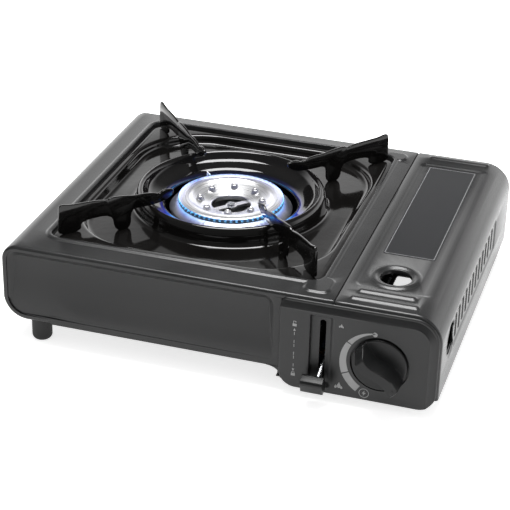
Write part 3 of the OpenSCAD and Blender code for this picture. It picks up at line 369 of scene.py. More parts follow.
def vector_maths(tree, operation, *values, result="Vector"):
    """Output of a vector maths node."""
    made = add_node(tree, "ShaderNodeVectorMath", dict(enumerate(values)), operation=operation)
    return made.outputs[result]


class Finish:
    """A material and a short way to write its nodes."""

    def __init__(self, name):
        self.material = bpy.data.materials.new(name)
        self.material.use_nodes = True
        self.tree = self.material.node_tree
        self.shader = next(n for n in self.tree.nodes if n.type == "BSDF_PRINCIPLED")

    def set(self, **values):
        for key, value in values.items():
            self.shader.inputs[key.replace("_", " ")].default_value = value
        return self

    def group(self, tree, **values):
        into = {key.replace("_", " "): value for key, value in values.items()}
        return add_node(self.tree, "ShaderNodeGroup", into, node_tree=tree)

    def feed(self, out, name):
        self.tree.links.new(out, self.shader.inputs[name])

    def tint(self, mask, low, high):
        """Colour between two shades by a mask."""
        mix = add_node(self.tree, "ShaderNodeMix", {0: mask, 6: (*low, 1), 7: (*high, 1)},
            data_type="RGBA")
        self.feed(mix.outputs[2], "Base Color")

    def roughness(self, mask, low, high):
        """Roughness between two values by a mask."""
        span = add_node(self.tree, "ShaderNodeMapRange",
            {"To Min": low, "To Max": high, "Value": mask})
        self.feed(span.outputs["Result"], "Roughness")

    def relief(self, height, distance, edge=0.0):
        """Bump from a height in millimetres, over an optional rounding of the edges."""
        into = {"Strength": 1.0, "Distance": distance * MM, "Height": height}
        if edge:
            rounding = add_node(self.tree, "ShaderNodeBevel", {"Radius": edge * MM}, samples=4)
            into["Normal"] = rounding.outputs["Normal"]
        bump = add_node(self.tree, "ShaderNodeBump", into)
        self.feed(bump.outputs["Normal"], "Normal")


def new_group(name, inputs, outputs):
    """An empty shader group: inputs with their defaults, and outputs of one value each."""
    tree = bpy.data.node_groups.new(name, "ShaderNodeTree")
    for label, value in inputs.items():
        kind = "NodeSocketVector" if isinstance(value, tuple) else "NodeSocketFloat"
        socket = tree.interface.new_socket(label, in_out="INPUT", socket_type=kind)
        socket.default_value = value
    for label in outputs:
        tree.interface.new_socket(label, in_out="OUTPUT", socket_type="NodeSocketFloat")
    given, result = tree.nodes.new("NodeGroupInput"), tree.nodes.new("NodeGroupOutput")
    place = add_node(tree, "ShaderNodeTexCoord").outputs["Object"]
    return tree, given.outputs, result.inputs, place


def grain_group():
    """Fine grain for a height, and slow clouds for tone."""
    tree, given, result, place = new_group(
        "Surface grain", {"Fine size": 1200.0, "Cloud size": 14.0}, ["Fine", "Cloud"])
    for label, detail, low, high in (("Fine", 3.0, 0.3, 0.7), ("Cloud", 4.0, 0.35, 0.65)):
        noise = add_node(tree, "ShaderNodeTexNoise",
            {"Detail": detail, "Vector": place, "Scale": given[label + " size"]})
        span = add_node(tree, "ShaderNodeMapRange",
            {"From Min": low, "From Max": high, "Value": noise.outputs["Fac"]})
        tree.links.new(span.outputs["Result"], result[label])
    return tree


def speck_group():
    """Scattered small specks, such as dust and tiny pits."""
    tree, given, result, place = new_group(
        "Scattered specks", {"Size": 500.0, "Share": 0.08}, ["Specks"])
    cells = add_node(tree, "ShaderNodeTexVoronoi", {"Vector": place, "Scale": given["Size"]})
    span = add_node(tree, "ShaderNodeMapRange", {
        "From Min": 0.0, "From Max": given["Share"], "To Min": 1.0, "To Max": 0.0,
        "Value": cells.outputs["Distance"]})
    tree.links.new(span.outputs["Result"], result["Specks"])
    return tree


def brush_group():
    """Fine lines along one direction, as rolled or brushed metal has."""
    tree, given, result, place = new_group(
        "Brushed lines", {"Stretch": (60.0, 2500.0, 2500.0)}, ["Lines"])
    stretched = vector_maths(tree, "MULTIPLY", place, given["Stretch"])
    noise = add_node(tree, "ShaderNodeTexNoise",
        {"Scale": 1.0, "Detail": 3.0, "Vector": stretched})
    tree.links.new(noise.outputs["Fac"], result["Lines"])
    return tree


def turned_group():
    """Rings about an upright axis, as a lathe leaves."""
    tree, given, result, place = new_group(
        "Turned rings", {"Centre": (0.0, 0.0, 0.0), "Pitch": 900.0}, ["Rings"])
    arm = vector_maths(tree, "SUBTRACT", place, given["Centre"])
    arm = vector_maths(tree, "MULTIPLY", arm, (1, 1, 0))
    reach = vector_maths(tree, "LENGTH", arm, result="Value")
    noise = add_node(tree, "ShaderNodeTexNoise",
        {"Detail": 2.0, "W": reach, "Scale": given["Pitch"]}, noise_dimensions="1D")
    tree.links.new(noise.outputs["Fac"], result["Rings"])
    return tree


def shade(colour, factor):
    """A lighter or darker colour, kept within white."""
    return tuple(min(1.0, c * factor) for c in colour)


FINISHES = {}


def make_finishes(colours):
    """Build every finish once, from the colours in the panel."""
    grain, specks, lines, rings = grain_group(), speck_group(), brush_group(), turned_group()

    def coated(name, colour, rough, fine, bump, ior=1.5, vary=0.18, edge=0.0):
        finish = Finish(name).set(IOR=ior)
        surface = finish.group(grain, Fine_size=fine, Cloud_size=14)
        dust = finish.group(specks, Size=420.0, Share=0.05)
        finish.tint(surface.outputs["Cloud"], shade(colour, 1 - vary), shade(colour, 1 + vary))
        blend = maths(finish.tree, "ADD", surface.outputs["Cloud"], dust.outputs["Specks"])
        finish.roughness(blend, rough * 0.88, rough * 1.14)
        finish.relief(surface.outputs["Fine"], bump, edge)
        FINISHES[name] = finish.material
        return finish

    def metal(name, colour, rough, bump, stretch=None):
        finish = Finish(name).set(Metallic=1.0)
        surface = finish.group(grain, Fine_size=1500, Cloud_size=40.0)
        finish.tint(surface.outputs["Cloud"], shade(colour, 0.86), shade(colour, 1.08))
        finish.roughness(surface.outputs["Cloud"], rough * 0.8, rough * 1.2)
        height = surface.outputs["Fine"]
        if stretch:
            height = finish.group(lines, Stretch=stretch).outputs["Lines"]
        finish.relief(height, bump, edge=0.15)
        FINISHES[name] = finish.material

    c = colours
    coated("case_paint", tuple(c.paint), 0.23, 1400, 0.006, ior=1.43)
    coated("moulding", tuple(c.moulding), 0.4, 2600, 0.014, ior=1.47)
    coated("control_plastic", tuple(c.control), 0.3, 2600, 0.01, ior=1.36)
    coated("enamel", tuple(c.enamel), 0.08, 160, 0.012, ior=1.52, vary=0.3)
    # dark inner steel, darkened further as painted shade so the closed bay reads black through the
    # lid's slots
    coated("inner_steel", (0.02, 0.0204, 0.021), 0.5, 1400, 0.02, edge=0.2)
    coated("rubber", (0.02, 0.02, 0.02), 0.7, 2400, 0.03)
    coated("lead_sleeve", (0.02, 0.02, 0.02), 0.5, 1800, 0.01)
    coated("dial_paint", tuple(c.dial), 0.5, 2600, 0.008, vary=0.06)
    coated("label_film", (0.007, 0.0075, 0.009), 0.35, 3000, 0.003, ior=1.25)
    coated("label_line", (0.25, 0.25, 0.26), 0.4, 3000, 0.004, vary=0.06)
    metal("cast_aluminium", tuple(c.aluminium), 0.3, 0.03)
    # rougher casting for the burner body, its colour halved as painted shade for the dim
    # reflections the body shows
    metal("burner_casting", shade(c.aluminium, 0.5), 0.4, 0.012)
    metal("heat_aluminium", (0.6, 0.6, 0.61), 0.35, 0.01, (60, 2500, 2500))
    metal("zinc_steel", (0.52, 0.53, 0.55), 0.28, 0.006, (40, 1800, 1800))
    metal("die_cast", (0.42, 0.43, 0.45), 0.42, 0.03)
    metal("brass", (0.72, 0.5, 0.2), 0.25, 0.004, (2500, 60, 2500))
    metal("copper", (0.72, 0.38, 0.24), 0.3, 0.004, (60, 2500, 2500))
    ceramic = coated("ceramic", (0.78, 0.76, 0.7), 0.25, 900, 0.01, vary=0.05)
    ceramic.set(Coat_Weight=0.4, Coat_Roughness=0.1)
    turned = Finish("turned_aluminium").set(Metallic=1.0)
    lathe = turned.group(rings, Centre=(PAN_X * MM, PAN_Y * MM, 0), Pitch=1400.0)
    surface = turned.group(grain, Fine_size=1500.0, Cloud_size=60.0)
    turned.tint(surface.outputs["Cloud"], shade(c.aluminium, 0.92), shade(c.aluminium, 1.06))
    turned.roughness(lathe.outputs["Rings"], 0.2, 0.42)
    turned.relief(lathe.outputs["Rings"], 0.02)
    FINISHES["turned_aluminium"] = turned.material


# ---- case --------------------------------------------------------------------

SEAM_X = LID_LOW[0] - 0.8
CASE_R, CASE_LOW_R = 13, 19
BEND = 2.6
RIM_W = 4.2
CURL_X = LEFT_X + 39.2


def spread(a, b, count):
    """Evenly spaced values from a to b."""
    return [a + (b - a) * i / count for i in range(count + 1)]


def top_places():
    """Where the case's top has points, from the seam to the left corner."""
    return spread(SEAM_X - 0.9, LEFT_X + CASE_R, 40)


def case_section(n):
    """Section of the case, n millimetres inside its skin, from the seam to the curl."""
    section = [(SEAM_X, TOP_Z - 0.9 - n), (SEAM_X - 0.26, TOP_Z - 0.26 - n)]
    section += [(x, TOP_Z - n) for x in top_places()]
    section += arc_points(LEFT_X + CASE_R, TOP_Z - CASE_R, CASE_R - n, 90, 180)[1:]
    section += [(LEFT_X + n, z) for z in spread(TOP_Z - CASE_R, UNDER_Z + CASE_LOW_R, 5)[1:]]
    x, z = LEFT_X + CASE_LOW_R, UNDER_Z + CASE_LOW_R
    section += arc_points(x, z, CASE_LOW_R - n, 180, 270, 14)[1:]
    section += [(x, UNDER_Z + n) for x in spread(LEFT_X + CASE_LOW_R, CURL_X, 3)[1:]]
    return section


def end_rows(section, y, way, depth, bend=BEND):
    """Rows of points from a turned-in flange, round its bend, to the skin."""
    rows = [[(x, y, z) for x, z in section(n)] for n in (depth, (depth + bend) / 2, bend)]
    for i in range(1, 7):
        t = math.radians(90 * i / 6)
        n, out = bend * (1 - math.sin(t)), bend * (1 - math.cos(t))
        rows.append([(x, y + way * out, z) for x, z in section(n)])
    return rows


def opening(d):
    """Outline at a distance outside the opening for the drip pan."""
    return grown(OPENING, d, OPEN_R + d, 10, 14)


LOBE_R = 2.5
LOBES = [(67.5, OPEN_Y0 - 12, 79.5, OPEN_Y0 + 4), (67.5, OPEN_Y1 - 4, 79.5, OPEN_Y1 + 3.5)]


def case_relief(x, y, rise):
    """Height of the bead round the opening and of the two lobes at its right corners."""
    d = distance_round_rect(x, y, *OPENING, OPEN_R)
    for lobe in LOBES:
        d = np.minimum(d, distance_round_rect(x, y, *lobe, LOBE_R))
    return rise * (1 - ease(d, 2.4, 5.2))


def build_case(sizes):
    """Pressed case: top with its bead and mouth, left side, rims and the lid's shelf."""
    rise = sizes.case_bead / MM
    y0, y1 = FRONT_Y + BEND, BACK_Y - BEND
    ys = spread(y0, y1, 30)
    xs = top_places()
    outer = [(x, y0) for x in xs[::-1]] + [(xs[0], y) for y in ys[1:-1]]
    outer += [(x, y1) for x in xs] + [(xs[-1], y) for y in ys[1:-1][::-1]]
    levels = (1.7, 2.4, 2.8, 3.3, 3.8, 4.3, 4.8, 5.2)
    loops = [opening(d) for d in levels]
    for lobe in LOBES:
        loops += [grown(lobe, d, LOBE_R + d, 7, 5) for d in levels]
    mouth = opening(1.0)
    flat, tris = flat_sheet(outer, loops, [mouth])
    lift = case_relief(flat[:, 0], flat[:, 1], rise)
    top = [(x, y, TOP_Z + h) for (x, y), h in zip(flat, lift)]
    rows = [[(x, y, TOP_Z + rise) for x, y in mouth]]
    for i in range(1, 6):
        t = math.radians(90 * i / 5)
        d, z = 1 - math.sin(t), TOP_Z + rise - 1 + math.cos(t)
        rows.append([(x, y, z) for x, y in opening(d)])
    seat = RIM_Z - 1.2
    rows += [[(x, y, z) for x, y in opening(d)] for d, z in ((0, seat), (-3, seat), (-6, seat))]
    front = end_rows(case_section, FRONT_Y, 1, RIM_W)
    back = end_rows(case_section, BACK_Y, -1, RIM_W)
    section = case_section(0)
    first = 2 + len(xs) - 1
    side = loft([[(x, y, z) for y in ys] for x, z in section[first:]], closed=False)
    seam = loft([[(x, y, z) for y in ys] for x, z in section[:3]], closed=False)
    points, faces = joined(
        (top, tris), loft(rows), loft(front, closed=False), loft(back, closed=False), side, seam)
    piece = make_piece("case_shell", points, faces, outward=((LEFT_X, MID_Y, 50), (-1, 0, 0)))
    thicken(piece, 0.9, even=False)
    shelf_y = (FRONT_Y + 1.6, BACK_Y - 1.6)
    lip = [(SEAM_X - 0.85, 80.9), (SEAM_X - 0.85, 80.25), (SEAM_X + 5.55, 80.25),
        (SEAM_X + 5.55, 74.6)]
    shelf = make_piece("lid_shelf", *loft([[(x, y, z) for y in shelf_y] for x, z in lip],
        closed=False), outward=((SEAM_X + 3, MID_Y, 80.3), (0, 0, 1)), smooth=20)
    thicken(shelf, 0.85, smooth=20, offset=0)
    put_on(piece, "case", "case_paint", "case_paint", "case_wrap")
    put_on(shelf, "case", "case_paint", "case_paint")


def build_front_panel():
    """Moulded panel with its sunk field, between the rims of the case."""
    x0, x1 = LEFT_X + 1.2, HOUSE_LOW[0]
    z0, z1 = UNDER_Z + 1.2, TOP_Z - 1.2
    field = (LEFT_X + 4.8, UNDER_Z + 5.5, x1 - 5.7, TOP_Z - 4.6)
    radii = (15, 4, 9, 9)
    pocket = 5.3

    def loop(d):
        return grown(field, -d, [max(r - d, 0.6) for r in radii], 8, 12)

    outer = rounded(x0, z0, x1, z1, (18, 0.1, 0.1, 12), 8, 12)
    low = [(CURL_X + 0.3, z0), (CURL_X + 0.3, UNDER_Z), (x1, UNDER_Z)]
    outer = [p for p in outer if not (p[1] < z0 + 0.15 and p[0] > CURL_X)]
    corner = max(range(len(outer)), key=lambda i: (outer[i][0] if outer[i][1] < 40 else -1e9,
        -outer[i][1]))
    left = min(range(len(outer)), key=lambda i: (abs(outer[i][1] - z0), -outer[i][0]))
    ordered = outer[corner:] + outer[:corner]
    left = ordered.index(outer[left])
    outer = ordered[:left + 1] + low
    insets = (0.0, 0.25, 0.5, 1.2, 2.4, 3.6, 4.5, 4.8, 5.05, 5.3)
    rim_z = TOP_Z - RIM_W
    lines = [[(x0, z0 + 4.1), (x1, z0 + 4.1)], [(x0, z0 + 3.9), (x1, z0 + 3.9)],
        [(x1 - 5.3, z0), (x1 - 5.3, z1)], [(x1 - 5.1, z0), (x1 - 5.1, z1)],
        [(CURL_X + 0.3, z0 + 4.1), (CURL_X + 0.3, z0)],
        [(x0, rim_z - 0.16), (x1, rim_z - 0.16)], [(x0, rim_z), (x1, rim_z)]]
    for up in (1.5, 4, 7, 10, 14, 18, 22, 27, 32, 38, 44):
        lines.append([(x, field[1] + up) for x in spread(x0, x1, 32)])
    flat, tris = flat_sheet(outer, [loop(d) for d in insets], (), lines)
    x, z = flat[:, 0], flat[:, 1]
    depth = np.zeros(len(flat))
    open_foot = (field[0], field[1] - 60, field[2], field[3])
    reach = -distance_loop(x, z, open_foot, radii)
    beside = (x > x1 - 5.2) & (z < TOP_Z - RIM_W - 0.08)
    below = (z < z0 + 4.0) & (x > CURL_X + 0.2)
    # the field runs out level with the band along its foot, right of the case's curl
    up = z - field[1]
    behind_curl = np.maximum(1 - ease(x, CURL_X, CURL_X + 25), ease(up, 0, 20))
    start = np.where(beside | below, 0.0, 1.2 * behind_curl)
    slope = 0.8 * np.clip((reach - 0.1) / 4.9, 0, 1) + 0.2 * ease(reach, 0.0, 5.3)
    slope = np.minimum(slope, ease(up, -1, 44))
    depth = start + (pocket - start) * slope
    points = [(a, FRONT_Y + float(d), b) for (a, b), d in zip(flat, depth)]
    back = [(a, FRONT_Y + 5.4, b) for a, b in low[1:]]
    lip = ([(a, FRONT_Y, b) for a, b in low[1:]] + back, [(0, 1, 3, 2)])
    piece = make_piece("front_panel", *joined((points, tris), lip), smooth=30,
        outward=((-60, FRONT_Y + 3.5, 50), (0, -1, 0)))
    thicken(piece, 1.0, smooth=30, even=False)
    put_on(piece, "case", "moulding", "moulding", "front_fascia")


def distance_loop(x, z, a, radii):
    """Signed distance to a rounded rectangle with a radius for each corner."""
    cx, cz = (a[0] + a[2]) / 2, (a[1] + a[3]) / 2
    ll, lr, ur, ul = radii
    r = np.where(x > cx, np.where(z > cz, ur, lr), np.where(z > cz, ul, ll))
    qx = np.abs(x - cx) - (a[2] - a[0]) / 2 + r
    qz = np.abs(z - cz) - (a[3] - a[1]) / 2 + r
    return np.hypot(np.maximum(qx, 0), np.maximum(qz, 0)) + np.minimum(np.maximum(qx, qz), 0) - r


# ---- cartridge lid -----------------------------------------------------------

LID_R = 22
ARC_U = RIGHT_X - LID_R - LID_LOW[0]
SIDE_U = ARC_U + math.pi / 2 * LID_R
END_U = SIDE_U + TOP_Z - LID_R - LID_LOW[2]
VENT_Y, VENT_Z, VENT_PITCH, VENT_COUNT = MID_Y - 9.5, 48.0, 13.2, 12
VENT_UP, VENT_W, VENT_R = 9.5, 1.7, 1.6


def lid_point(u, y, h=0.0):
    """A point on the lid: u runs over the top, round the corner and down the side."""
    if u < ARC_U:
        return (LID_LOW[0] + u, y, TOP_Z + h)
    if u < SIDE_U:
        t = (u - ARC_U) / LID_R
        return (RIGHT_X - LID_R + (LID_R + h) * math.sin(t), y,
            TOP_Z - LID_R + (LID_R + h) * math.cos(t))
    return (RIGHT_X + h, y, TOP_Z - LID_R - (u - SIDE_U))


def side_u(z):
    """The u of a height on the lid's side."""
    return SIDE_U + TOP_Z - LID_R - z


def lid_places():
    """Values of u along the lid, from the seam to its lower edge."""
    flat = spread(0.9, ARC_U, 10)
    arc = spread(ARC_U, SIDE_U, 18)[1:]
    return flat + arc + spread(SIDE_U, END_U, 5)[1:]


def lid_section(n):
    """Section of the lid, n millimetres inside its skin."""
    section = [(LID_LOW[0], TOP_Z - 0.9 - n), (LID_LOW[0] + 0.26, TOP_Z - 0.26 - n)]
    for u in lid_places():
        x, _, z = lid_point(u, 0, -n)
        section.append((x, z))
    return section


def capsule(u0, y0, u1, y1):
    """A rib's outline with round ends."""
    r = min(u1 - u0, y1 - y0) / 2
    return (u0, y0, u1, y1, r)


def lid_features():
    """Ribs of the lid as (u0, y0, u1, y1, r), half their slope and their rise."""
    x = LID_LOW[0]
    return [
        (capsule(101.5 - x, FRONT_Y + 19.8, 145.5 - x, FRONT_Y + 26.8), 2.2, 1.3),
        (capsule(98.5 - x, FRONT_Y + 7.8, 150 - x, FRONT_Y + 14.6), 2.2, 1.3),
        (capsule(101 - x, BACK_Y - 11.5, 152 - x, BACK_Y - 4.2), 1.7, 0.9),
    ]


# the lid's sunk field and the panel of its slots, as (u0, y0, u1, y1, r), and its round hole
FIELD = (5.6, FRONT_Y + 28.6, ARC_U + 12, BACK_Y - 19.5, 8)
SIDE_FIELD = (side_u(62), VENT_Y - 85, side_u(33.5), VENT_Y + 87, 5)
PORT = (side_u(VENT_Z), FRONT_Y + 35)


def lid_relief(u, y, sizes):
    """Height of the lid's ribs, fields and pressed holes over its skin."""
    h = np.zeros(len(u))
    for shape, slope, rise in lid_features():
        d = distance_round_rect(u, y, *shape)
        h += rise * (1 - ease(d, -slope, slope * 0.35))
    field = -distance_round_rect(u, y, *FIELD)
    fade = 1 - ease(u, ARC_U - 2, ARC_U + 7)
    h -= sizes.lid_field / MM * ease(field, 0, 4.2) * fade
    r = np.hypot(u + LID_LOW[0] - HOLE_X, y - HOLE_Y)
    h += 1.3 * (ease(r, 13.0, 15.4) - ease(r, 17.2, 20.4)) * (r < 21)
    side = -distance_round_rect(u, y, *SIDE_FIELD)
    h -= 1.0 * ease(side, 0, 2.6)
    port = np.hypot(u - PORT[0], y - PORT[1])
    h -= 0.9 * (1 - ease(port, 12.4, 15.4)) * (side < 0)
    return h


def build_lid(sizes):
    """Pressed lid: skin with its relief and holes, rims and knuckles."""
    y0, y1 = FRONT_Y + BEND, BACK_Y - BEND
    ys = spread(y0, y1, 30)
    us = lid_places()
    outer = [(u, y0) for u in us] + [(us[-1], y) for y in ys[1:-1]]
    outer += [(u, y1) for u in us[::-1]] + [(us[0], y) for y in ys[1:-1][::-1]]
    loops = []
    for (*box, r), slope, _ in lid_features():
        for out in (-slope, -slope * 0.6, -slope * 0.2, slope * 0.35):
            loops.append(grown(box, out, r + out))
    for inset in (0, 0.9, 1.8, 2.6, 3.4, 4.2):
        loops.append(grown(FIELD[:4], -inset, FIELD[4] - inset, 8, 14))
    hole_u = HOLE_X - LID_LOW[0]
    for r in (12.9, 13.6, 14.4, 15.4, 16.3, 17.2, 18.2, 19.2, 20.4):
        loops.append(circle(hole_u, HOLE_Y, r, 64))
    for inset in (0, 0.9, 1.7, 2.6):
        loops.append(grown(SIDE_FIELD[:4], -inset, SIDE_FIELD[4] - inset, 6, 16))
    loops += [circle(*PORT, r, 40) for r in (12.6, 13.6, 14.5, 15.4)]
    mouth = circle(hole_u, HOLE_Y, 12.6, 64)
    holes = [mouth, circle(*PORT, 12.0, 40)]
    for i in range(VENT_COUNT):
        y = VENT_Y + (i - (VENT_COUNT - 1) / 2) * VENT_PITCH
        holes.append(rounded(side_u(VENT_Z + VENT_UP), y - VENT_W, side_u(VENT_Z - VENT_UP),
            y + VENT_W, VENT_R, 4, 3))
    lines = [[(u, y0), (u, y1)] for u in us[8:-1]]
    flat, tris = flat_sheet(outer, loops, holes, lines)
    lift = lid_relief(flat[:, 0], flat[:, 1], sizes)
    skin = [lid_point(u, y, h) for (u, y), h in zip(flat, lift)]
    around = circle(hole_u, HOLE_Y, 1, 64)
    ring = [(12.6, 0.0), (12.1, -0.3), (11.85, -0.8), (11.8, -1.5), (11.8, -3.0)]
    base = -sizes.lid_field / MM
    rows = [[(LID_LOW[0] + hole_u + (p[0] - hole_u) * r, HOLE_Y + (p[1] - HOLE_Y) * r,
        TOP_Z + base + z) for p in around] for r, z in ring]
    front = end_rows(lid_section, FRONT_Y, 1, 3.4)
    back = end_rows(lid_section, BACK_Y, -1, 3.4)
    edge = loft([[(x, y, z) for y in ys] for x, z in lid_section(0)[:3]], closed=False)
    piece = make_piece("canister_lid_skin", *joined((skin, tris), loft(rows),
        loft(front, closed=False), loft(back, closed=False), edge), merge=0.03,
        outward=((RIGHT_X, MID_Y, 25), (1, 0, 0)), smooth=42)
    thicken(piece, 0.8, smooth=42, even=False)
    knuckles = []
    knuckle_r, bore_r, wide = 2.9, 1.6, 6
    z, x, skin_x = LID_LOW[2] + knuckle_r, RIGHT_X - 0.9 - knuckle_r, RIGHT_X - 0.7
    leaf = [(x, z - knuckle_r), (skin_x, z - knuckle_r), (skin_x, z + knuckle_r),
        (x + 2.2, z + knuckle_r), (x + 2.2, z - 2.0), (x, z - 2.0)]
    tube = [circle(x, z, r, 24) for r in (knuckle_r, bore_r)]
    for y in (FRONT_Y + 3.2, BACK_Y - 9.2):
        rows = [[(p[0], w, p[1]) for p in tube[k]] for k, w in
            ((1, y), (0, y), (0, y + wide), (1, y + wide), (1, y))]
        knuckles += [loft(rows), block(leaf, y, y + wide, "y")]
    hinge = make_piece("lid_knuckles", *joined(*knuckles), smooth=30)
    put_on(piece, "lid", "case_paint", "case_paint", "canister_lid")
    put_on(hinge, "lid", "case_paint", "case_paint")
    build_label(sizes)


def build_label(sizes):
    """Bare plate on the lid, with a thin line along its edge."""
    box = (104.5, MID_Y - 51, 144.5, MID_Y + 114)
    z = TOP_Z - sizes.lid_field / MM
    rows = []
    for inset, up in ((0, -0.02), (0, 0.12), (0.12, 0.2)):
        rows.append([(x, y, z + up) for x, y in grown(box, -inset, 1.2, 4, 4)])
    plate = make_piece("lid_plate", *capped(rows), smooth=1)
    for face in plate.data.polygons:
        face.use_smooth = False
    put_on(plate, "lid", "case_paint", "label_film")
    frames = [grown(box, -inset, 0.8, 4, 4) for inset in (0.9, 1.3)]
    rows = [[(x, y, z + up) for x, y in frames[k]] for k, up in
        ((0, 0.18), (0, 0.24), (1, 0.24), (1, 0.18), (0, 0.18))]
    put_on(make_piece("lid_plate_line", *loft(rows), merge=0.001, smooth=30), "lid",
        "case_paint", "label_line")


# ---- drip pan and its supports -----------------------------------------------


def build_pan():
    """Enamelled pan: rolled edge, flat rim, sunk floor and the ring round the burner."""
    sides = dict(steps=16, side=10)

    def rim(d):
        return grown((*PAN_LOW[:2], *PAN_HIGH[:2]), -d, 9.4 - min(d, 2.6) * 0.5, **sides)

    def well(d):
        return grown((PAN_X - 100, PAN_Y - 109, PAN_X + 100, PAN_Y + 109), d, 56 + d, **sides)

    turns = [math.atan2(y - PAN_Y, x - PAN_X) for x, y in well(-6)]

    def ring(r):
        return [(PAN_X + r * math.cos(t), PAN_Y + r * math.sin(t)) for t in turns]

    rows = [(rim(d), z) for d, z in ((0.05, -0.85), (0.1, -0.6), (0.5, -0.36), (1.3, -0.15),
        (2.4, -0.03), (3.4, 0))]
    rows += [(well(d), z) for d, z in ((4.2, 0), (3.0, -0.06), (2.0, -0.3), (1.2, -0.8),
        (0.5, -1.7), (0.0, -3.0), (-0.3, -4.4), (-0.8, -5.7), (-1.6, -6.6), (-2.8, -7.2),
        (-4.4, -7.47), (-6, -7.5))]
    collar = ((88, 0.5), (83, 0.6), (80.6, 0.7), (79.2, 1.0), (78.2, 1.7),
        (77.5, 2.8), (76.9, 5.6), (76.2, 9.4), (75.6, 12.0), (74.9, 13.7), (74.0, 14.8),
        (72.7, 15.4), (71.4, 15.3), (70.3, 14.3), (69.2, 12.5), (67.9, 10.4), (66.2, 9.0),
        (63.5, 7.9), (59.5, 6.7), (57.6, 6.1), (56.0, 5.2), (54.8, 4.2), (53.8, 3.0),
        (53.2, 2.0), (53.0, 1.1))
    rows += [(ring(r), z - PAN_DEPTH) for r, z in collar]
    skin = [[(x, y, RIM_Z + z) for x, y in row] for row, z in rows]
    piece = make_piece("pan_skin", *loft(skin), merge=0.004,
        outward=((PAN_X, PAN_Y - 92, FLOOR_Z), (0, 0, 1)), smooth=60)
    thicken(piece, 0.85, smooth=60, even=False)
    put_on(piece, "pan_set", "enamel", "enamel", "drip_pan", "pan_collar")


def round_off(outline, times=2, share=0.22):
    """Cut the corners of a closed outline."""
    for _ in range(times):
        cut = []
        for a, b in zip(outline, outline[1:] + outline[:1]):
            cut.append((a[0] + (b[0] - a[0]) * share, a[1] + (b[1] - a[1]) * share))
            cut.append((b[0] + (a[0] - b[0]) * share, b[1] + (a[1] - b[1]) * share))
        outline = cut
    return outline


def blade_outline():
    """Side view of a support: (distance from the burner's axis, height)."""
    tip, out, seat, r = RIM_Z + 25, 151.0, COLLAR_Z + 0.3, 77.0
    return [
        (out, RIM_Z), (out - 0.2, RIM_Z + 8), (out - 0.6, tip - 2.0), (out - 2.4, tip),
        (out - 5.5, tip - 0.2), (out - 11, tip - 1.6), (out - 31, tip - 2.4),
        (out - 38, tip - 3.6), (out - 41, tip - 4.4), (out - 44, tip - 2.6),
        (out - 57, tip - 3.8), (out - 65.5, tip - 5.6), (out - 73, tip - 5.4),
        (out - 82, tip - 6.8), (out - 85.7, tip - 8.4), (out - 90, tip - 5.8),
        (out - 98, tip - 6.6), (out - 99.2, tip - 9.2), (out - 97.5, tip - 11.6),
        (out - 91, seat + 1.2), (r - 7, seat), (r + 2, seat), (out - 61.5, seat + 0.2),
        (out - 61, FLOOR_Z), (out - 48, FLOOR_Z), (out - 45.4, seat - 0.2), (out - 19, seat - 0.2),
        (out - 19, RIM_Z)]


def build_supports(sizes):
    """Four sheet blades that stand across the pan's corners."""
    angle = math.degrees(math.atan2(OPEN_Y1 - OPEN_Y0, OPEN_X1 - OPEN_X0))
    places = {"rear_right": angle, "rear_left": 180 - angle, "front_left": 180 + angle,
        "front_right": -angle}
    outline = round_off(blade_outline()[::-1], 2)
    for corner, turn in places.items():
        t = math.radians(turn)
        along, across = (math.cos(t), math.sin(t)), (-math.sin(t), math.cos(t))
        points, faces = block(outline, -1.0, 1.0, "y")
        placed = [(PAN_X + p[0] * along[0] + p[1] * across[0],
            PAN_Y + p[0] * along[1] + p[1] * across[1], p[2]) for p in points]
        piece = make_piece("support_" + corner, placed, faces, merge=0.001, smooth=30)
        soften(piece, sizes.blade_edge / MM, 2, 60, 40)
        put_on(piece, "pan_set", "enamel", "enamel", "pan_support_" + corner)


# ---- parts that repeat -------------------------------------------------------


def spread_tree(name, inputs, make_points):
    """Set the object's own mesh on points, as real mesh with one material."""
    tree = bpy.data.node_groups.new(name, "GeometryNodeTree")
    for label, kind in [("Geometry", "Geometry"), *inputs, ("Material", "Material")]:
        tree.interface.new_socket(label, in_out="INPUT", socket_type="NodeSocket" + kind)
    tree.interface.new_socket("Geometry", in_out="OUTPUT", socket_type="NodeSocketGeometry")
    given = tree.nodes.new("NodeGroupInput").outputs
    points, turn = make_points(tree, given)
    into = {"Points": points, "Instance": given["Geometry"]}
    if turn:
        into["Rotation"] = turn
    copies = add_node(tree, "GeometryNodeInstanceOnPoints", into)
    real = add_node(tree, "GeometryNodeRealizeInstances",
        {"Geometry": copies.outputs["Instances"]})
    paint = add_node(tree, "GeometryNodeSetMaterial",
        {"Geometry": real.outputs["Geometry"], "Material": given["Material"]})
    add_node(tree, "NodeGroupOutput", {"Geometry": paint.outputs["Geometry"]})
    return tree


def round_tree():
    """Parts spaced evenly round an upright axis, each turned with its place."""

    def make_points(tree, given):
        line = add_node(tree, "GeometryNodeMeshLine", {"Count": given["Count"]})
        index = tree.nodes.new("GeometryNodeInputIndex").outputs[0]
        share = maths(tree, "DIVIDE", index, given["Count"])
        turn = maths(tree, "MULTIPLY_ADD", share, 2 * math.pi, given["Start"])
        x, y = (maths(tree, "MULTIPLY", maths(tree, part, turn), given["Radius"])
            for part in ("COSINE", "SINE"))
        arm = add_node(tree, "ShaderNodeCombineXYZ", {"X": x, "Y": y})
        place = vector_maths(tree, "ADD", arm.outputs[0], given["Centre"])
        moved = add_node(tree, "GeometryNodeSetPosition",
            {"Geometry": line.outputs["Mesh"], "Position": place})
        spin = add_node(tree, "ShaderNodeCombineXYZ", {"Z": turn})
        return moved.outputs["Geometry"], spin.outputs[0]

    inputs = [("Count", "Int"), ("Radius", "Float"), ("Start", "Float"), ("Centre", "Vector")]
    return spread_tree("Parts round an axis", inputs, make_points)


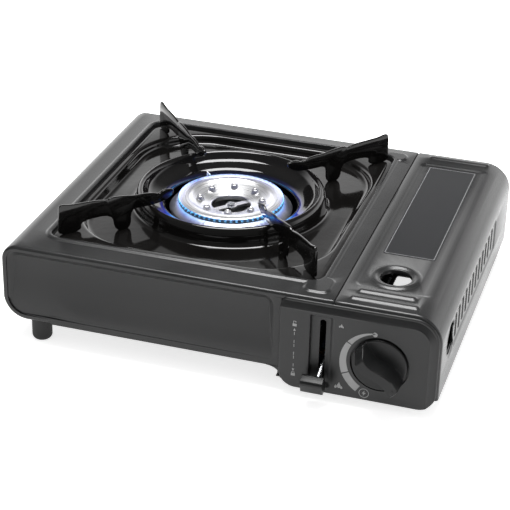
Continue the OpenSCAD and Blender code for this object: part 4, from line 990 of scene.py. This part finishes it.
def row_tree():
    """Parts spaced evenly along a line."""

    def make_points(tree, given):
        line = add_node(tree, "GeometryNodeMeshLine", {
            "Count": given["Count"], "Start Location": given["Start"],
            "Offset": given["Step"]})
        return line.outputs["Mesh"], None

    inputs = [("Count", "Int"), ("Start", "Vector"), ("Step", "Vector")]
    return spread_tree("Parts in a row", inputs, make_points)


def repeat(piece, tree, smooth=35, **values):
    """Run a tree on a piece with its inputs set, and keep the plain mesh."""
    modifier = piece.modifiers.new("Repeat", "NODES")
    modifier.node_group = tree
    for item in tree.interface.items_tree:
        key = item.name.replace(" ", "_")
        if item.item_type == "SOCKET" and item.in_out == "INPUT" and key in values:
            modifier[item.identifier] = values[key]
    return bake(piece, smooth)


# ---- burner ------------------------------------------------------------------


def build_burner():
    """Cast body, turned ring and dish, teeth and bosses."""
    ring_z, eye_z = RING_Z, RING_Z - 7
    # the body and the mixing tube take the casting whose darker colour is painted shade
    for node, finish in (("burner_body", "burner_casting"), ("burner_crossbar", "cast_aluminium"),
            ("mixing_tube", "burner_casting")):
        put_on(copy_of(node), "case", "cast_aluminium", finish, node)
    band = [(37.05, ring_z - 3.9), (37.05, ring_z - 0.35), (37.4, ring_z - 0.05),
        (41.6, ring_z - 0.05), (42.2, ring_z - 0.4), (42.45, ring_z - 1.0),
        (42.45, ring_z - 1.2), (41.2, ring_z - 1.3), (41.2, ring_z - 2.9),
        (42.45, ring_z - 3.0), (42.45, ring_z - 3.7), (42.2, ring_z - 3.95), (37.05, ring_z - 3.95)]
    band.append(band[0])
    ring = make_piece("burner_ring_band", *spun(band, PAN_X, PAN_Y), merge=0.001,
        outward=((PAN_X, PAN_Y - 39, ring_z), (0, 0, 1)), smooth=35)
    put_on(ring, "case", "cast_aluminium", "turned_aluminium", "burner_ring")
    tooth = [(41.0, -0.95), (42.45, -1.35), (42.45, 1.35), (41.0, 0.95)]
    teeth = make_piece("burner_teeth", *block(tooth, ring_z - 3.0, ring_z - 1.2, "z"),
        merge=0.001, smooth=30)
    teeth.data.transform(Matrix.Translation((-41.5 * MM, 0, 0)))
    repeat(teeth, round_tree(), Count=60, Radius=41.5 * MM, Start=math.radians(3),
        Centre=(PAN_X * MM, PAN_Y * MM, 0), Material=FINISHES["cast_aluminium"])
    put_on(teeth, "case", "cast_aluminium", "cast_aluminium")
    dish = [(15.8, eye_z - 1.3), (15.8, eye_z - 0.3), (16.1, eye_z + 0.1), (17, eye_z + 0.5),
        (29, ring_z - 2.7), (31.2, ring_z - 2.1), (32.4, ring_z - 1.4), (33.2, ring_z - 0.7),
        (34, ring_z - 0.35), (36.9, ring_z - 0.2), (36.9, ring_z - 3.5), (33.5, ring_z - 3.8),
        (16.8, eye_z - 1.4), (15.8, eye_z - 1.3)]
    cap = make_piece("burner_dish", *spun(dish, PAN_X, PAN_Y), merge=0.001,
        outward=((PAN_X, PAN_Y - 22, ring_z - 4), (0, 0, 1)), smooth=40)
    put_on(cap, "case", "cast_aluminium", "turned_aluminium", "burner_cap")
    post = [(0, eye_z + 5.0), (1.0, eye_z + 5.0), (1.3, eye_z + 5.6), (1.9, eye_z + 5.9),
        (2.5, eye_z + 5.5), (2.8, eye_z + 4.6), (3.1, eye_z + 2.8), (3.6, eye_z + 2.2),
        (3.9, eye_z + 1.2)]
    bosses = make_piece("burner_bosses", *spun(post, 0, 0, 20), merge=0.001,
        outward=((3, 0, eye_z + 4), (1, 0, 0)), smooth=50)
    # the bosses also take the casting whose darker colour is painted shade
    repeat(bosses, round_tree(), Count=8, Radius=25 * MM, Start=math.radians(12),
        Centre=(PAN_X * MM, PAN_Y * MM, 0), Material=FINISHES["burner_casting"])
    put_on(bosses, "case", "cast_aluminium", "burner_casting")


# ---- controls ----------------------------------------------------------------

BEVEL_W, BEVEL_DROP = 6.2, 3.3
HOUSE_BOX = (HOUSE_LOW[0], HOUSE_LOW[2], HOUSE_HIGH[0], HOUSE_HIGH[2])
HOUSE_R = (13, 13, 19, 6)
# the lever's groove: ends of its two slopes across, from the lever's middle, and its depth
GROOVE = (-9.2, -8.5, 4.4, 9.2)
GROOVE_DEPTH = 3.0
WELL_R, WELL_DEPTH = 21.7, 2.6
KNOB_R, KNOB_FACE_R = 20.5, 19.6


def face_depth(x, z):
    """How far the control front lies behind its plane."""
    x0, z0, x1, z1 = HOUSE_BOX
    broad = -distance_loop(x, z, (x0 - 60, z0 - 60, x1, z1), (5, 5, HOUSE_R[2], 5))
    edge = -distance_loop(x, z, HOUSE_BOX, HOUSE_R)
    t = np.clip((BEVEL_W + 0.4 - broad) / BEVEL_W, 0, 1)
    depth = BEVEL_DROP * (t - 0.3 * ease(t, 0.7, 1.0))
    turn = np.clip(1 - edge / 1.6, 0, 1)
    depth = depth + 1.1 * (1 - np.sqrt(np.maximum(1 - turn * turn, 0)))
    depth = depth - 0.3 * np.exp(-((broad - BEVEL_W - 0.3) / 0.55) ** 2)
    a, b, c, d = (LEVER_X + v for v in GROOVE)
    groove = ease(x, a, b) * (1 - ease(x, c, d))
    groove = groove * ease(z, 12, 15) * (1 - ease(z, 68.8, 70.8))
    depth = depth + GROOVE_DEPTH * groove
    r = np.hypot(x - KNOB_X, z - KNOB_Z)
    depth = depth + WELL_DEPTH * (1 - ease(r, WELL_R, 21.95))
    return depth


def build_control_front():
    """Moulded front with its groove, well, skirt and corner fillet."""
    a = HOUSE_BOX

    def rim(d):
        return grown(a, -d, [max(r - d, 0.5) for r in HOUSE_R], 12, 16)

    outer = rim(0)
    loops = [rim(d) for d in (0.25, 0.6, 1.1, 1.6)]
    for d in (0.4, 0.9, 1.5, 2.1, 2.6, 4.0, 5.2, 5.7, 6.1, 6.5, 6.9, 7.3, 7.9):
        loops.append(rounded(a[0] + 0.05, a[1] + 0.05, a[2] - d - 0.01, a[3] - d - 0.01,
            [12.9, 12.9, max(19 - d, 1), 5.9], 12, 16))
    lines = []
    for x in (-9.2, -8.95, -8.75, -8.5, 4.4, 5.6, 6.8, 8.0, 9.2):
        lines.append([(LEVER_X + x, 12), (LEVER_X + x, 71)])
    for z in (12, 13, 14, 15, 68.8, 69.5, 70.1, 70.8):
        lines.append([(LEVER_X + GROOVE[0], z), (LEVER_X + GROOVE[3], z)])
    loops += [circle(KNOB_X, KNOB_Z, r, 72) for r in (21.6, WELL_R, 21.83, 21.95)]
    slot = rounded(LEVER_X - 2.3, 17, LEVER_X + 2.3, 66.5, 2.2, 6, 6)
    holes = [slot, circle(KNOB_X, KNOB_Z, 4.2, 24)]
    flat, tris = flat_sheet(outer, loops, holes, lines)
    depth = face_depth(flat[:, 0], flat[:, 1])
    skin = [(x, FACE_Y + d, z) for (x, z), d in zip(flat, depth)]
    edge = np.array(outer)
    start = face_depth(edge[:, 0], edge[:, 1])
    back = FRONT_Y - 0.35
    wall = [[(x, FACE_Y + d + (back - FACE_Y - d) * w, z) for (x, z), d in zip(outer, start)]
        for w in (0, 0.5, 1.0)]
    mouth = [[(x, FACE_Y + GROOVE_DEPTH + w, z) for x, z in slot] for w in (0, 0.6)]
    piece = make_piece("control_front", *joined((skin, tris), loft(wall), loft(mouth)),
        smooth=24, outward=((KNOB_X - 40, FACE_Y, 20), (0, -1, 0)))
    thicken(piece, 0.6, smooth=24, even=False)
    put_on(piece, "case", "moulding", "moulding", "control_housing")
    foot = sorted((p for p in rounded(*a, HOUSE_R, 12, 16) if p[1] < 8.2), key=lambda p: p[0])
    under = [[(x, y, z) for x, z in foot] for y in (FRONT_Y - 0.3, FRONT_Y + 14)]
    skirt = make_piece("control_skirt", *loft(under, closed=False), smooth=40,
        outward=((KNOB_X, FRONT_Y + 5, a[1]), (0, 0, -1)))
    thicken(skirt, 1.8, smooth=40)
    put_on(skirt, "case", "moulding", "moulding")
    corner_r, fillet_r = HOUSE_R[0], 14
    run = math.sqrt((corner_r + fillet_r) ** 2 - fillet_r ** 2)
    cx, cz = a[0] + corner_r, a[1] + corner_r
    end = math.degrees(math.asin(fillet_r / (corner_r + fillet_r)))
    low_end = math.degrees(math.asin((cz - 9.7) / corner_r))
    fillet = arc_points(cx - run, UNDER_Z - fillet_r, fillet_r, 90, end)
    fillet += arc_points(cx, cz, corner_r - 0.02, 180 + end, 180 + low_end)
    fillet += arc_points(cx, cz, corner_r - 3, 180 + low_end, 180)
    web = make_piece("control_fillet", *block(fillet, FRONT_Y - 0.35, FRONT_Y + 2.6, "y"),
        smooth=30)
    put_on(web, "case", "moulding", "moulding")
    build_dial()


def mark(outline, rise=0.12):
    """A thin raised print on the control front, from an outline in x and z."""
    return block(outline, FACE_Y + 0.05, FACE_Y - rise, "y")


def arc_mark(r0, r1a, r1b, a0, a1, steps=14):
    """Part of the wedge scale round the knob."""
    turns = [math.radians(a0 + (a1 - a0) * i / steps) for i in range(steps + 1)]
    far = [r1a + (r1b - r1a) * i / steps for i in range(steps + 1)]
    ring = [(KNOB_X + r * math.cos(t), KNOB_Z + r * math.sin(t)) for r, t in zip(far, turns)]
    ring += [(KNOB_X + r0 * math.cos(t), KNOB_Z + r0 * math.sin(t)) for t in turns[::-1]]
    return mark(ring)


def flame_marks(x, z, size):
    """A plain flame sign made of three tongues."""
    tongue = [(0, -1), (0.5, -0.7), (0.62, -0.2), (0.3, 0.35), (0.05, 1.0), (-0.15, 0.45),
        (-0.5, 0.0), (-0.6, -0.5)]
    marks = []
    for dx, dz, k, side in ((0.1, 0.25, 1.0, 1), (-0.75, -0.25, 0.6, -1), (0.85, -0.35, 0.55, 1)):
        shape = [(x + size * (dx + p[0] * k * side), z + size * (dz + p[1] * k)) for p in tongue]
        if side < 0:
            shape = shape[::-1]
        marks.append(mark(round_off(shape, 1)))
    return marks


def build_dial():
    """Scale and signs printed on the control front."""
    scale_r = 24.5
    marks = [arc_mark(scale_r, 25.2, 28.4, 100, 148.6),
        arc_mark(scale_r, 28.6, 30.1, 150.2, 203.6), arc_mark(scale_r, 30.2, 30.4, 205.4, 237)]
    # a dot, two flames, a ring with the spark, then the lever's dashes, tips and locks
    marks.append(mark(circle(122.2, 63.2, 1.8, 24)))
    marks += flame_marks(97.2, 65.4, 1.6) + flame_marks(97.3, 15.6, 2.7)
    cx, cz = 116.5, 13.3
    outer, inner = circle(cx, cz, 3.8, 36), circle(cx, cz, 3.35, 36)
    rows = [[(p[0], FACE_Y + w, p[1]) for p in c] for c, w in
        ((outer, 0.05), (outer, -0.12), (inner, -0.12), (inner, 0.05), (outer, 0.05))]
    marks.append(loft(rows))
    bolt = [(0.6, 2.4), (-1.5, -0.4), (-0.2, -0.5), (-0.8, -2.4), (1.5, 0.4), (0.2, 0.5)]
    marks.append(mark([(cx + x, cz + z) for x, z in bolt]))
    x = HOUSE_LOW[0] + 11.6
    for k in (0, 2, 3, 5, 6, 8):
        z0 = 25 + k * 3.3
        marks.append(mark([(x - 0.22, z0), (x + 0.22, z0), (x + 0.22, z0 + 2.4),
            (x - 0.22, z0 + 2.4)]))
    for z, way in ((23.2, -1), (55.0, 1)):
        tip = [(x - 0.9, z), (x + 0.9, z), (x, z + 2.2 * way)]
        marks.append(mark(tip if way > 0 else tip[::-1]))
    for z, lift in ((18.6, 0), (60.2, 0.9)):
        body = [(x - 1.5, z - 1.4), (x + 1.5, z - 1.4), (x + 1.5, z + 0.7), (x - 1.5, z + 0.7)]
        marks.append(mark(body))
        bow = [(x - 1.1, z + 0.7), (x - 1.1, z + 2.0 + lift), (x + 1.1, z + 2.0 + lift),
            (x + 1.1, z + 0.7 + lift), (x + 0.7, z + 0.7 + lift), (x + 0.7, z + 1.6 + lift),
            (x - 0.7, z + 1.6 + lift), (x - 0.7, z + 0.7)]
        marks.append(mark(bow[::-1]))
    dial = make_piece("dial_marks", *joined(*marks), merge=0.001, smooth=20)
    put_on(dial, "case", "moulding", "dial_paint")


def wave(s):
    """Centre line of the grip, s along it from -1 to 1."""
    return 2.6 * math.sin(math.pi * s) * (1 - 0.25 * s * s)


def grip_height(s, t):
    """Height of the knob's face over its rear edge: a flat disc with a bar across."""
    base = 2.0
    off = t - np.array([wave(v) for v in s / KNOB_R])
    top = 17.7 - 1.8 * (s / KNOB_R) ** 2 - 9.0 * ease(-s, 13.5, 20.0)
    ridge = (1 - ease(off, 3.4, 6.0)) * ease(off, -6.0, -3.8)
    return base + (top - base) * ridge


def build_knob():
    """Knob: a disc in its well, with a waved bar across."""
    angle = math.radians(-44)
    outline = circle(0, 0, KNOB_FACE_R, 120)
    loops = [circle(0, 0, r, 72) for r in (8, 13, 16, 18, 19)]
    lines = []
    for off in (*spread(-6.2, -3.6, 10), -1.8, 0, 1.8, *spread(3.2, 6.2, 12)):
        line = [(s * KNOB_R, wave(s) + off) for s in spread(-1, 1, 60)]
        line = [p for p in line if math.hypot(*p) < 19.5]
        if len(line) > 2:
            lines.append(line)
    flat, tris = flat_sheet(outline, loops, (), lines)
    s, t = flat[:, 0], flat[:, 1]
    high = grip_height(s, t)
    back = FACE_Y + 0.6

    def put(s, t, h):
        x = s * math.cos(angle) - t * math.sin(angle)
        z = s * math.sin(angle) + t * math.cos(angle)
        return (KNOB_X + x, back - h, KNOB_Z + z)

    face = [put(a, b, h) for (a, b), h in zip(flat, high)]
    edge = np.array(outline)
    at_edge = grip_height(edge[:, 0], edge[:, 1])
    rows = []
    for r, drop, share in ((KNOB_FACE_R, 0, 1), (20.1, 0.15, 1), (20.4, 0.45, 1),
            (KNOB_R, 0.9, 1), (KNOB_R, 0.9, 0.5), (KNOB_R, 0.9, 0.1), (20.2, 0.9, 0)):
        rows.append([put(p[0] * r / KNOB_FACE_R, p[1] * r / KNOB_FACE_R, (h - drop) * share)
            for p, h in zip(outline, at_edge)])
    points, faces = joined((face, tris), loft(rows))
    count = len(rows[-1])
    faces.append(tuple(range(len(points) - count, len(points))))
    piece = make_piece("control_knob_body", points, faces, merge=0.01, smooth=50)
    nub = make_piece("knob_pointer", *knob_pointer(put), smooth=40)
    soften(nub, 0.35, 2, 40, 45)
    put_on(piece, "knob", "control_plastic", "control_plastic", "control_knob")
    put_on(nub, "knob", "control_plastic", "control_plastic")


def knob_pointer(put):
    """Small raised pointer at the end of the grip."""
    shape = [(15.6, -2.2), (19.0, -2.0), (20.4, 0), (19.0, 2.0), (15.6, 2.2)]
    shape = round_off(shape, 1)
    rows = [[put(a, b + wave(a / KNOB_R), h) for a, b in shape] for h in (14.0, 16.6)]
    points, faces = loft(rows)
    count = len(shape)
    faces += [tuple(range(count)), tuple(range(count, 2 * count))]
    return points, faces


def build_lever():
    """Lever blade and its grip, with their edges rounded."""
    grip = copy_of("lever_knob")
    soften(grip, 2.0, 4, 40, 50)
    put_on(grip, "lever", "control_plastic", "control_plastic", "lever_knob")
    blade = copy_of("lock_lever")
    soften(blade, 0.3, 2, 40, 45)
    put_on(blade, "lever", "zinc_steel", "zinc_steel", "lock_lever")


# ---- what shows inside and below ---------------------------------------------

INNER = {
    # the inner steel's colour is partly painted shade of the closed bay
    "inner_steel": ["base_plate", "base_tray", "partition", "regulator_bracket", "collar_guide",
        "lever_bracket"],
    "case_paint": ["rear_panel", "bay_front_wall"],
    "control_plastic": ["piezo_igniter"],
    "heat_aluminium": ["heat_plate"],
    "zinc_steel": ["case_screws", "burner_screw", "burner_bracket", "air_shutter",
        "electrode_bracket", "regulator_cover", "regulator_screws", "valve_spindle", "lever_shaft",
        "drive_arm", "cartridge_carriage", "carriage_rivets", "lid_pins"],
    "die_cast": ["regulator_body"],
    "brass": ["gas_jet"],
    "copper": ["gas_pipe"],
    "ceramic": ["spark_electrode"],
    "rubber": ["foot_front_left", "foot_front_right", "foot_rear_left", "foot_rear_right",
        "inlet_seal"],
    "lead_sleeve": ["ignition_lead"],
}


def build_inner_parts():
    """Finish every node that keeps its own solid."""
    for finish, nodes in INNER.items():
        for node in nodes:
            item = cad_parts[node]
            item.data.materials.clear()
            item.data.materials.append(FINISHES[finish])


def build_slot_lips():
    """A raised lip round every side slot of the lid."""
    lip = []
    for grow, out in ((0.05, -1.0), (0.08, -0.8), (0.35, -0.7), (0.7, -0.84), (0.8, -1.0)):
        lip.append([(RIGHT_X + out, p[0], VENT_Z + p[1]) for p in
            grown((-VENT_W, -VENT_UP, VENT_W, VENT_UP), grow, VENT_R + grow, 4, 2)])
    lip.append(lip[0])
    lips = make_piece("lid_slot_lips", *loft(lip), merge=0.001, smooth=50)
    first = VENT_Y - (VENT_COUNT - 1) / 2 * VENT_PITCH
    repeat(lips, row_tree(), smooth=50, Count=VENT_COUNT, Start=(0, first * MM, 0),
        Step=(0, VENT_PITCH * MM, 0), Material=FINISHES["case_paint"])
    put_on(lips, "lid", "case_paint", "case_paint")


# ---- stage -------------------------------------------------------------------

# the photograph's camera, fitted to its edges: place in metres; azimuth, elevation and roll
CAMERA_PLACE = (0.33394, -1.13024, 0.65716)
CAMERA_TURN = (16.85, 27.64, -1.48)


def build_flames(stage):
    """Small blue lights at the ports of the burner, in place of its flames."""
    z = RING_Z - 1.4
    for name, r, up, size, tone, share in (
            ("flame_base", 43.4, 0.0, 1.2, (0.1, 0.6, 1.0), 1.0),
            ("flame_tip", 43.6, 2.4, 0.9, (0.12, 0.55, 1.0), 0.6),
            ("flame_body", 45.2, 1.6, 3.2, (0.04, 0.26, 1.0), 0.2),
            ("flame_veil", 47.5, 4.6, 6.5, (0.1, 0.12, 1.0), 0.09)):
        lamp = bpy.data.lights.new(name, "POINT")
        lamp.color = tone
        lamp.shadow_soft_size = size * MM
        lamp.energy = stage.flame * share * (2 * math.pi * size * MM) ** 2
        for place in circle(PAN_X, PAN_Y, r, 60):
            item = bpy.data.objects.new(name, lamp)
            item.location = (place[0] * MM, place[1] * MM, (z + up) * MM)
            bpy.context.collection.objects.link(item)


def white_floor():
    """Floor that shows white to the camera and keeps the shadow."""
    material = bpy.data.materials.new("floor")
    material.use_nodes = True
    tree = material.node_tree
    tree.nodes.clear()
    path = add_node(tree, "ShaderNodeLightPath").outputs
    tone = maths(tree, "MULTIPLY_ADD", path["Is Glossy Ray"], -0.36, 0.86)
    base = add_node(tree, "ShaderNodeBsdfDiffuse", {"Color": tone})
    seen = maths(tree, "MAXIMUM", path["Is Camera Ray"], path["Is Transmission Ray"])
    seen = maths(tree, "MULTIPLY", seen, 0.72)
    level = maths(tree, "MULTIPLY_ADD", path["Is Glossy Ray"], 0.8, seen)
    glow = add_node(tree, "ShaderNodeEmission", {"Strength": level})
    both = add_node(tree, "ShaderNodeAddShader", {0: base.outputs[0], 1: glow.outputs[0]})
    add_node(tree, "ShaderNodeOutputMaterial", {"Surface": both.outputs[0]})
    return material


def build_world(stage):
    """White room for the camera, and a darker one that glossy faces mirror."""
    world = bpy.data.worlds.new("studio")
    bpy.context.scene.world = world
    world.use_nodes = True
    tree = world.node_tree
    tree.nodes.clear()
    path = add_node(tree, "ShaderNodeLightPath").outputs
    place = add_node(tree, "ShaderNodeTexCoord").outputs["Generated"]
    way = add_node(tree, "ShaderNodeSeparateXYZ", {0: place}).outputs

    def span(value, low, high):
        made = add_node(tree, "ShaderNodeMapRange",
            {"From Min": low, "From Max": high, "Value": value},
            interpolation_type="SMOOTHSTEP")
        return made.outputs["Result"]

    # bright low at the back, down to the room's level above and in front
    behind, low = span(way["Y"], -0.1, 0.35), span(way["Z"], 0.56, 0.3)
    mirrored = maths(tree, "MULTIPLY", behind, low)
    mirrored = maths(tree, "MULTIPLY_ADD", mirrored, 1.7 - stage.room, stage.room)
    white = maths(tree, "MAXIMUM", path["Is Camera Ray"], path["Is Transmission Ray"])
    soft = maths(tree, "MAXIMUM", white, path["Is Glossy Ray"])
    level = maths(tree, "MULTIPLY", maths(tree, "SUBTRACT", 1.0, soft), stage.fill)
    gloss = maths(tree, "MULTIPLY", maths(tree, "SUBTRACT", soft, white), mirrored)
    level = maths(tree, "ADD", maths(tree, "ADD", level, gloss), white)
    back = add_node(tree, "ShaderNodeBackground", {"Color": (1, 1, 1, 1), "Strength": level})
    add_node(tree, "ShaderNodeOutputWorld", {"Surface": back.outputs[0]})


def area_light(name, place, target, size, power):
    """A rectangular lamp that faces a point."""
    lamp = bpy.data.lights.new(name, "AREA")
    lamp.shape = "RECTANGLE"
    lamp.size, lamp.size_y = size
    lamp.energy = power
    item = bpy.data.objects.new(name, lamp)
    bpy.context.collection.objects.link(item)
    item.location = place
    aim = Vector(target) - Vector(place)
    item.rotation_euler = aim.to_track_quat("-Z", "Y").to_euler()
    return item


def build_stage(stage):
    """Floor, surroundings, lamps and the fitted camera."""
    reach, low = 4000, -0.05
    corners = [(-reach, -reach), (reach, -reach), (reach, reach), (-reach, reach)]
    floor = make_piece("floor", [(x, y, low) for x, y in corners], [(0, 1, 2, 3)])
    floor.data.materials.append(white_floor())
    build_world(stage)
    area_light("overhead", (-0.05, 0.1, 1.3), (0, 0, 0), (0.8, 0.6), stage.overhead)
    area_light("side", (1.7, -0.7, 0.9), (0, 0, 0.03), (0.8, 1.0), stage.side)
    camera = bpy.data.cameras.new("camera")
    item = bpy.data.objects.new("camera", camera)
    bpy.context.collection.objects.link(item)
    camera.sensor_fit = "HORIZONTAL"
    camera.sensor_width = 36
    camera.lens = stage.lens
    a, e, roll = (math.radians(v) for v in CAMERA_TURN)
    ahead = Vector((-math.sin(a) * math.cos(e), math.cos(a) * math.cos(e), -math.sin(e)))
    right = ahead.cross(Vector((0, 0, 1))).normalized()
    down = ahead.cross(right)
    c, s = math.cos(roll), math.sin(roll)
    right, down = right * c + down * s, down * c - right * s
    turn = Matrix((right, -down, -ahead)).transposed()
    item.matrix_world = Matrix.Translation(CAMERA_PLACE) @ turn.to_4x4()
    camera.clip_end = 20
    bpy.context.scene.camera = item
    bpy.context.scene.view_settings.view_transform = "Standard"
    build_flames(stage)


# ---- panel, sizes and operators ----------------------------------------------


def length(name, text, default):
    """A size in metres for the panel."""
    return bpy.props.FloatProperty(
        name=name, description=text, default=default, unit="LENGTH", min=0.0, precision=5)


def colour(name, text, default):
    """A colour for the panel."""
    return bpy.props.FloatVectorProperty(
        name=name, description=text, default=default, subtype="COLOR", size=3, min=0.0, max=1.0)


def amount(name, text, default, low=0):
    """A plain number for the panel."""
    return bpy.props.FloatProperty(name=name, description=text, default=default, min=low)


class StoveSizes(bpy.types.PropertyGroup):
    """Sizes of the pressed and moulded details"""
    case_bead: length("Case bead", "Rise of the bead round the pan opening", 0.0012)
    lid_field: length("Lid field", "Depth of the sunk field of the lid", 0.0013)
    blade_edge: length("Blade edge", "Rounding along the edges of the pan supports", 0.0005)


class StoveColours(bpy.types.PropertyGroup):
    """Base colours of the main finishes"""
    paint: colour("Case paint", "Satin paint of the case and the lid", (0.019, 0.0192, 0.0195))
    moulding: colour("Moulding", "Front panel and control front", (0.0105, 0.0107, 0.011))
    control: colour("Controls", "Knob and lever grip", (0.009, 0.0092, 0.0094))
    enamel: colour("Enamel", "Drip pan and its supports", (0.0045, 0.0042, 0.004))
    aluminium: colour("Aluminium", "Cast parts of the burner", (0.86, 0.86, 0.87))
    dial: colour("Dial", "Scale and signs on the control front", (0.3, 0.3, 0.3))


class StoveStage(bpy.types.PropertyGroup):
    """Camera, lamps and flames"""
    lens: amount("Lens", "Focal length in millimetres", 117.1, 10)
    fill: amount("Fill", "Light of the surroundings on the object", 0.55)
    room: amount("Room", "Level of the room that glossy faces mirror", 0.14)
    overhead: amount("Overhead", "Power of the lamp above in watts", 24.0)
    side: amount("Side", "Power of the lamp at the right in watts", 2.0)
    flame: amount("Flame", "Glow of the flames", 1.8)


class STOVE_OT_finishes(bpy.types.Operator):
    """Make the finishes of every piece"""
    bl_idname = "stove.finishes"
    bl_label = "Finishes"

    def execute(self, context):
        make_finishes(context.scene.stove_colours)
        return {"FINISHED"}


class STOVE_OT_inner_parts(bpy.types.Operator):
    """Finish the parts inside and below"""
    bl_idname = "stove.inner_parts"
    bl_label = "Inner parts"

    def execute(self, context):
        build_inner_parts()
        return {"FINISHED"}


class STOVE_OT_case_shell(bpy.types.Operator):
    """Press the case with its opening, bead and rims"""
    bl_idname = "stove.case_shell"
    bl_label = "Case"

    def execute(self, context):
        build_case(context.scene.stove_sizes)
        return {"FINISHED"}


class STOVE_OT_front_panel(bpy.types.Operator):
    """Mould the sunk front panel"""
    bl_idname = "stove.front_panel"
    bl_label = "Front panel"

    def execute(self, context):
        build_front_panel()
        return {"FINISHED"}


class STOVE_OT_lid(bpy.types.Operator):
    """Press the cartridge lid with its ribs, slots and holes"""
    bl_idname = "stove.lid"
    bl_label = "Lid"

    def execute(self, context):
        build_lid(context.scene.stove_sizes)
        return {"FINISHED"}


class STOVE_OT_slot_lips(bpy.types.Operator):
    """Raise a lip round every side slot"""
    bl_idname = "stove.slot_lips"
    bl_label = "Slot lips"

    def execute(self, context):
        build_slot_lips()
        return {"FINISHED"}


class STOVE_OT_pan(bpy.types.Operator):
    """Press and enamel the drip pan"""
    bl_idname = "stove.pan"
    bl_label = "Drip pan"

    def execute(self, context):
        build_pan()
        return {"FINISHED"}


class STOVE_OT_supports(bpy.types.Operator):
    """Cut the four pan supports"""
    bl_idname = "stove.supports"
    bl_label = "Pan supports"

    def execute(self, context):
        build_supports(context.scene.stove_sizes)
        return {"FINISHED"}


class STOVE_OT_burner(bpy.types.Operator):
    """Cast and turn the burner"""
    bl_idname = "stove.burner"
    bl_label = "Burner"

    def execute(self, context):
        build_burner()
        return {"FINISHED"}


class STOVE_OT_control_front(bpy.types.Operator):
    """Mould the control front and its marks"""
    bl_idname = "stove.control_front"
    bl_label = "Control front"

    def execute(self, context):
        build_control_front()
        return {"FINISHED"}


class STOVE_OT_knob(bpy.types.Operator):
    """Mould the knob with its waved grip"""
    bl_idname = "stove.knob"
    bl_label = "Knob"

    def execute(self, context):
        build_knob()
        return {"FINISHED"}


class STOVE_OT_lever(bpy.types.Operator):
    """Bend the cartridge lever and mould its grip"""
    bl_idname = "stove.lever"
    bl_label = "Lever"

    def execute(self, context):
        build_lever()
        return {"FINISHED"}


class STOVE_OT_stage(bpy.types.Operator):
    """Set the floor, lamps, flames and camera"""
    bl_idname = "stove.stage"
    bl_label = "Stage"

    def execute(self, context):
        build_stage(context.scene.stove_stage)
        return {"FINISHED"}


OPERATORS = [
    STOVE_OT_finishes, STOVE_OT_inner_parts, STOVE_OT_case_shell, STOVE_OT_front_panel,
    STOVE_OT_lid, STOVE_OT_slot_lips, STOVE_OT_pan, STOVE_OT_supports,
    STOVE_OT_burner, STOVE_OT_control_front, STOVE_OT_knob, STOVE_OT_lever,
    STOVE_OT_stage,
]


class STOVE_PT_panel(bpy.types.Panel):
    """Sizes, colours and steps of the stove"""
    bl_idname = "STOVE_PT_panel"
    bl_label = "Cassette stove"
    bl_space_type = "VIEW_3D"
    bl_region_type = "UI"
    bl_category = "Stove"

    def draw(self, context):
        scene = context.scene
        for group in (scene.stove_sizes, scene.stove_colours, scene.stove_stage):
            box = self.layout.box()
            for name in group.__annotations__:
                box.prop(group, name)
        for operator in OPERATORS:
            self.layout.operator(operator.bl_idname)


GROUPS = {"stove_sizes": StoveSizes, "stove_colours": StoveColours, "stove_stage": StoveStage}


def register():
    for item in [*GROUPS.values(), *OPERATORS, STOVE_PT_panel]:
        bpy.utils.register_class(item)
    for name, item in GROUPS.items():
        setattr(bpy.types.Scene, name, bpy.props.PointerProperty(type=item))


def unregister():
    for name in GROUPS:
        delattr(bpy.types.Scene, name)
    for item in [STOVE_PT_panel, *OPERATORS[::-1], *GROUPS.values()]:
        bpy.utils.unregister_class(item)


def main():
    """Run every operator in order."""
    register()
    bpy.ops.stove.finishes()
    bpy.ops.stove.inner_parts()
    bpy.ops.stove.case_shell()
    bpy.ops.stove.front_panel()
    bpy.ops.stove.lid()
    bpy.ops.stove.slot_lips()
    bpy.ops.stove.pan()
    bpy.ops.stove.supports()
    bpy.ops.stove.burner()
    bpy.ops.stove.control_front()
    bpy.ops.stove.knob()
    bpy.ops.stove.lever()
    bpy.ops.stove.stage()


if __name__ == "__main__":
    main()
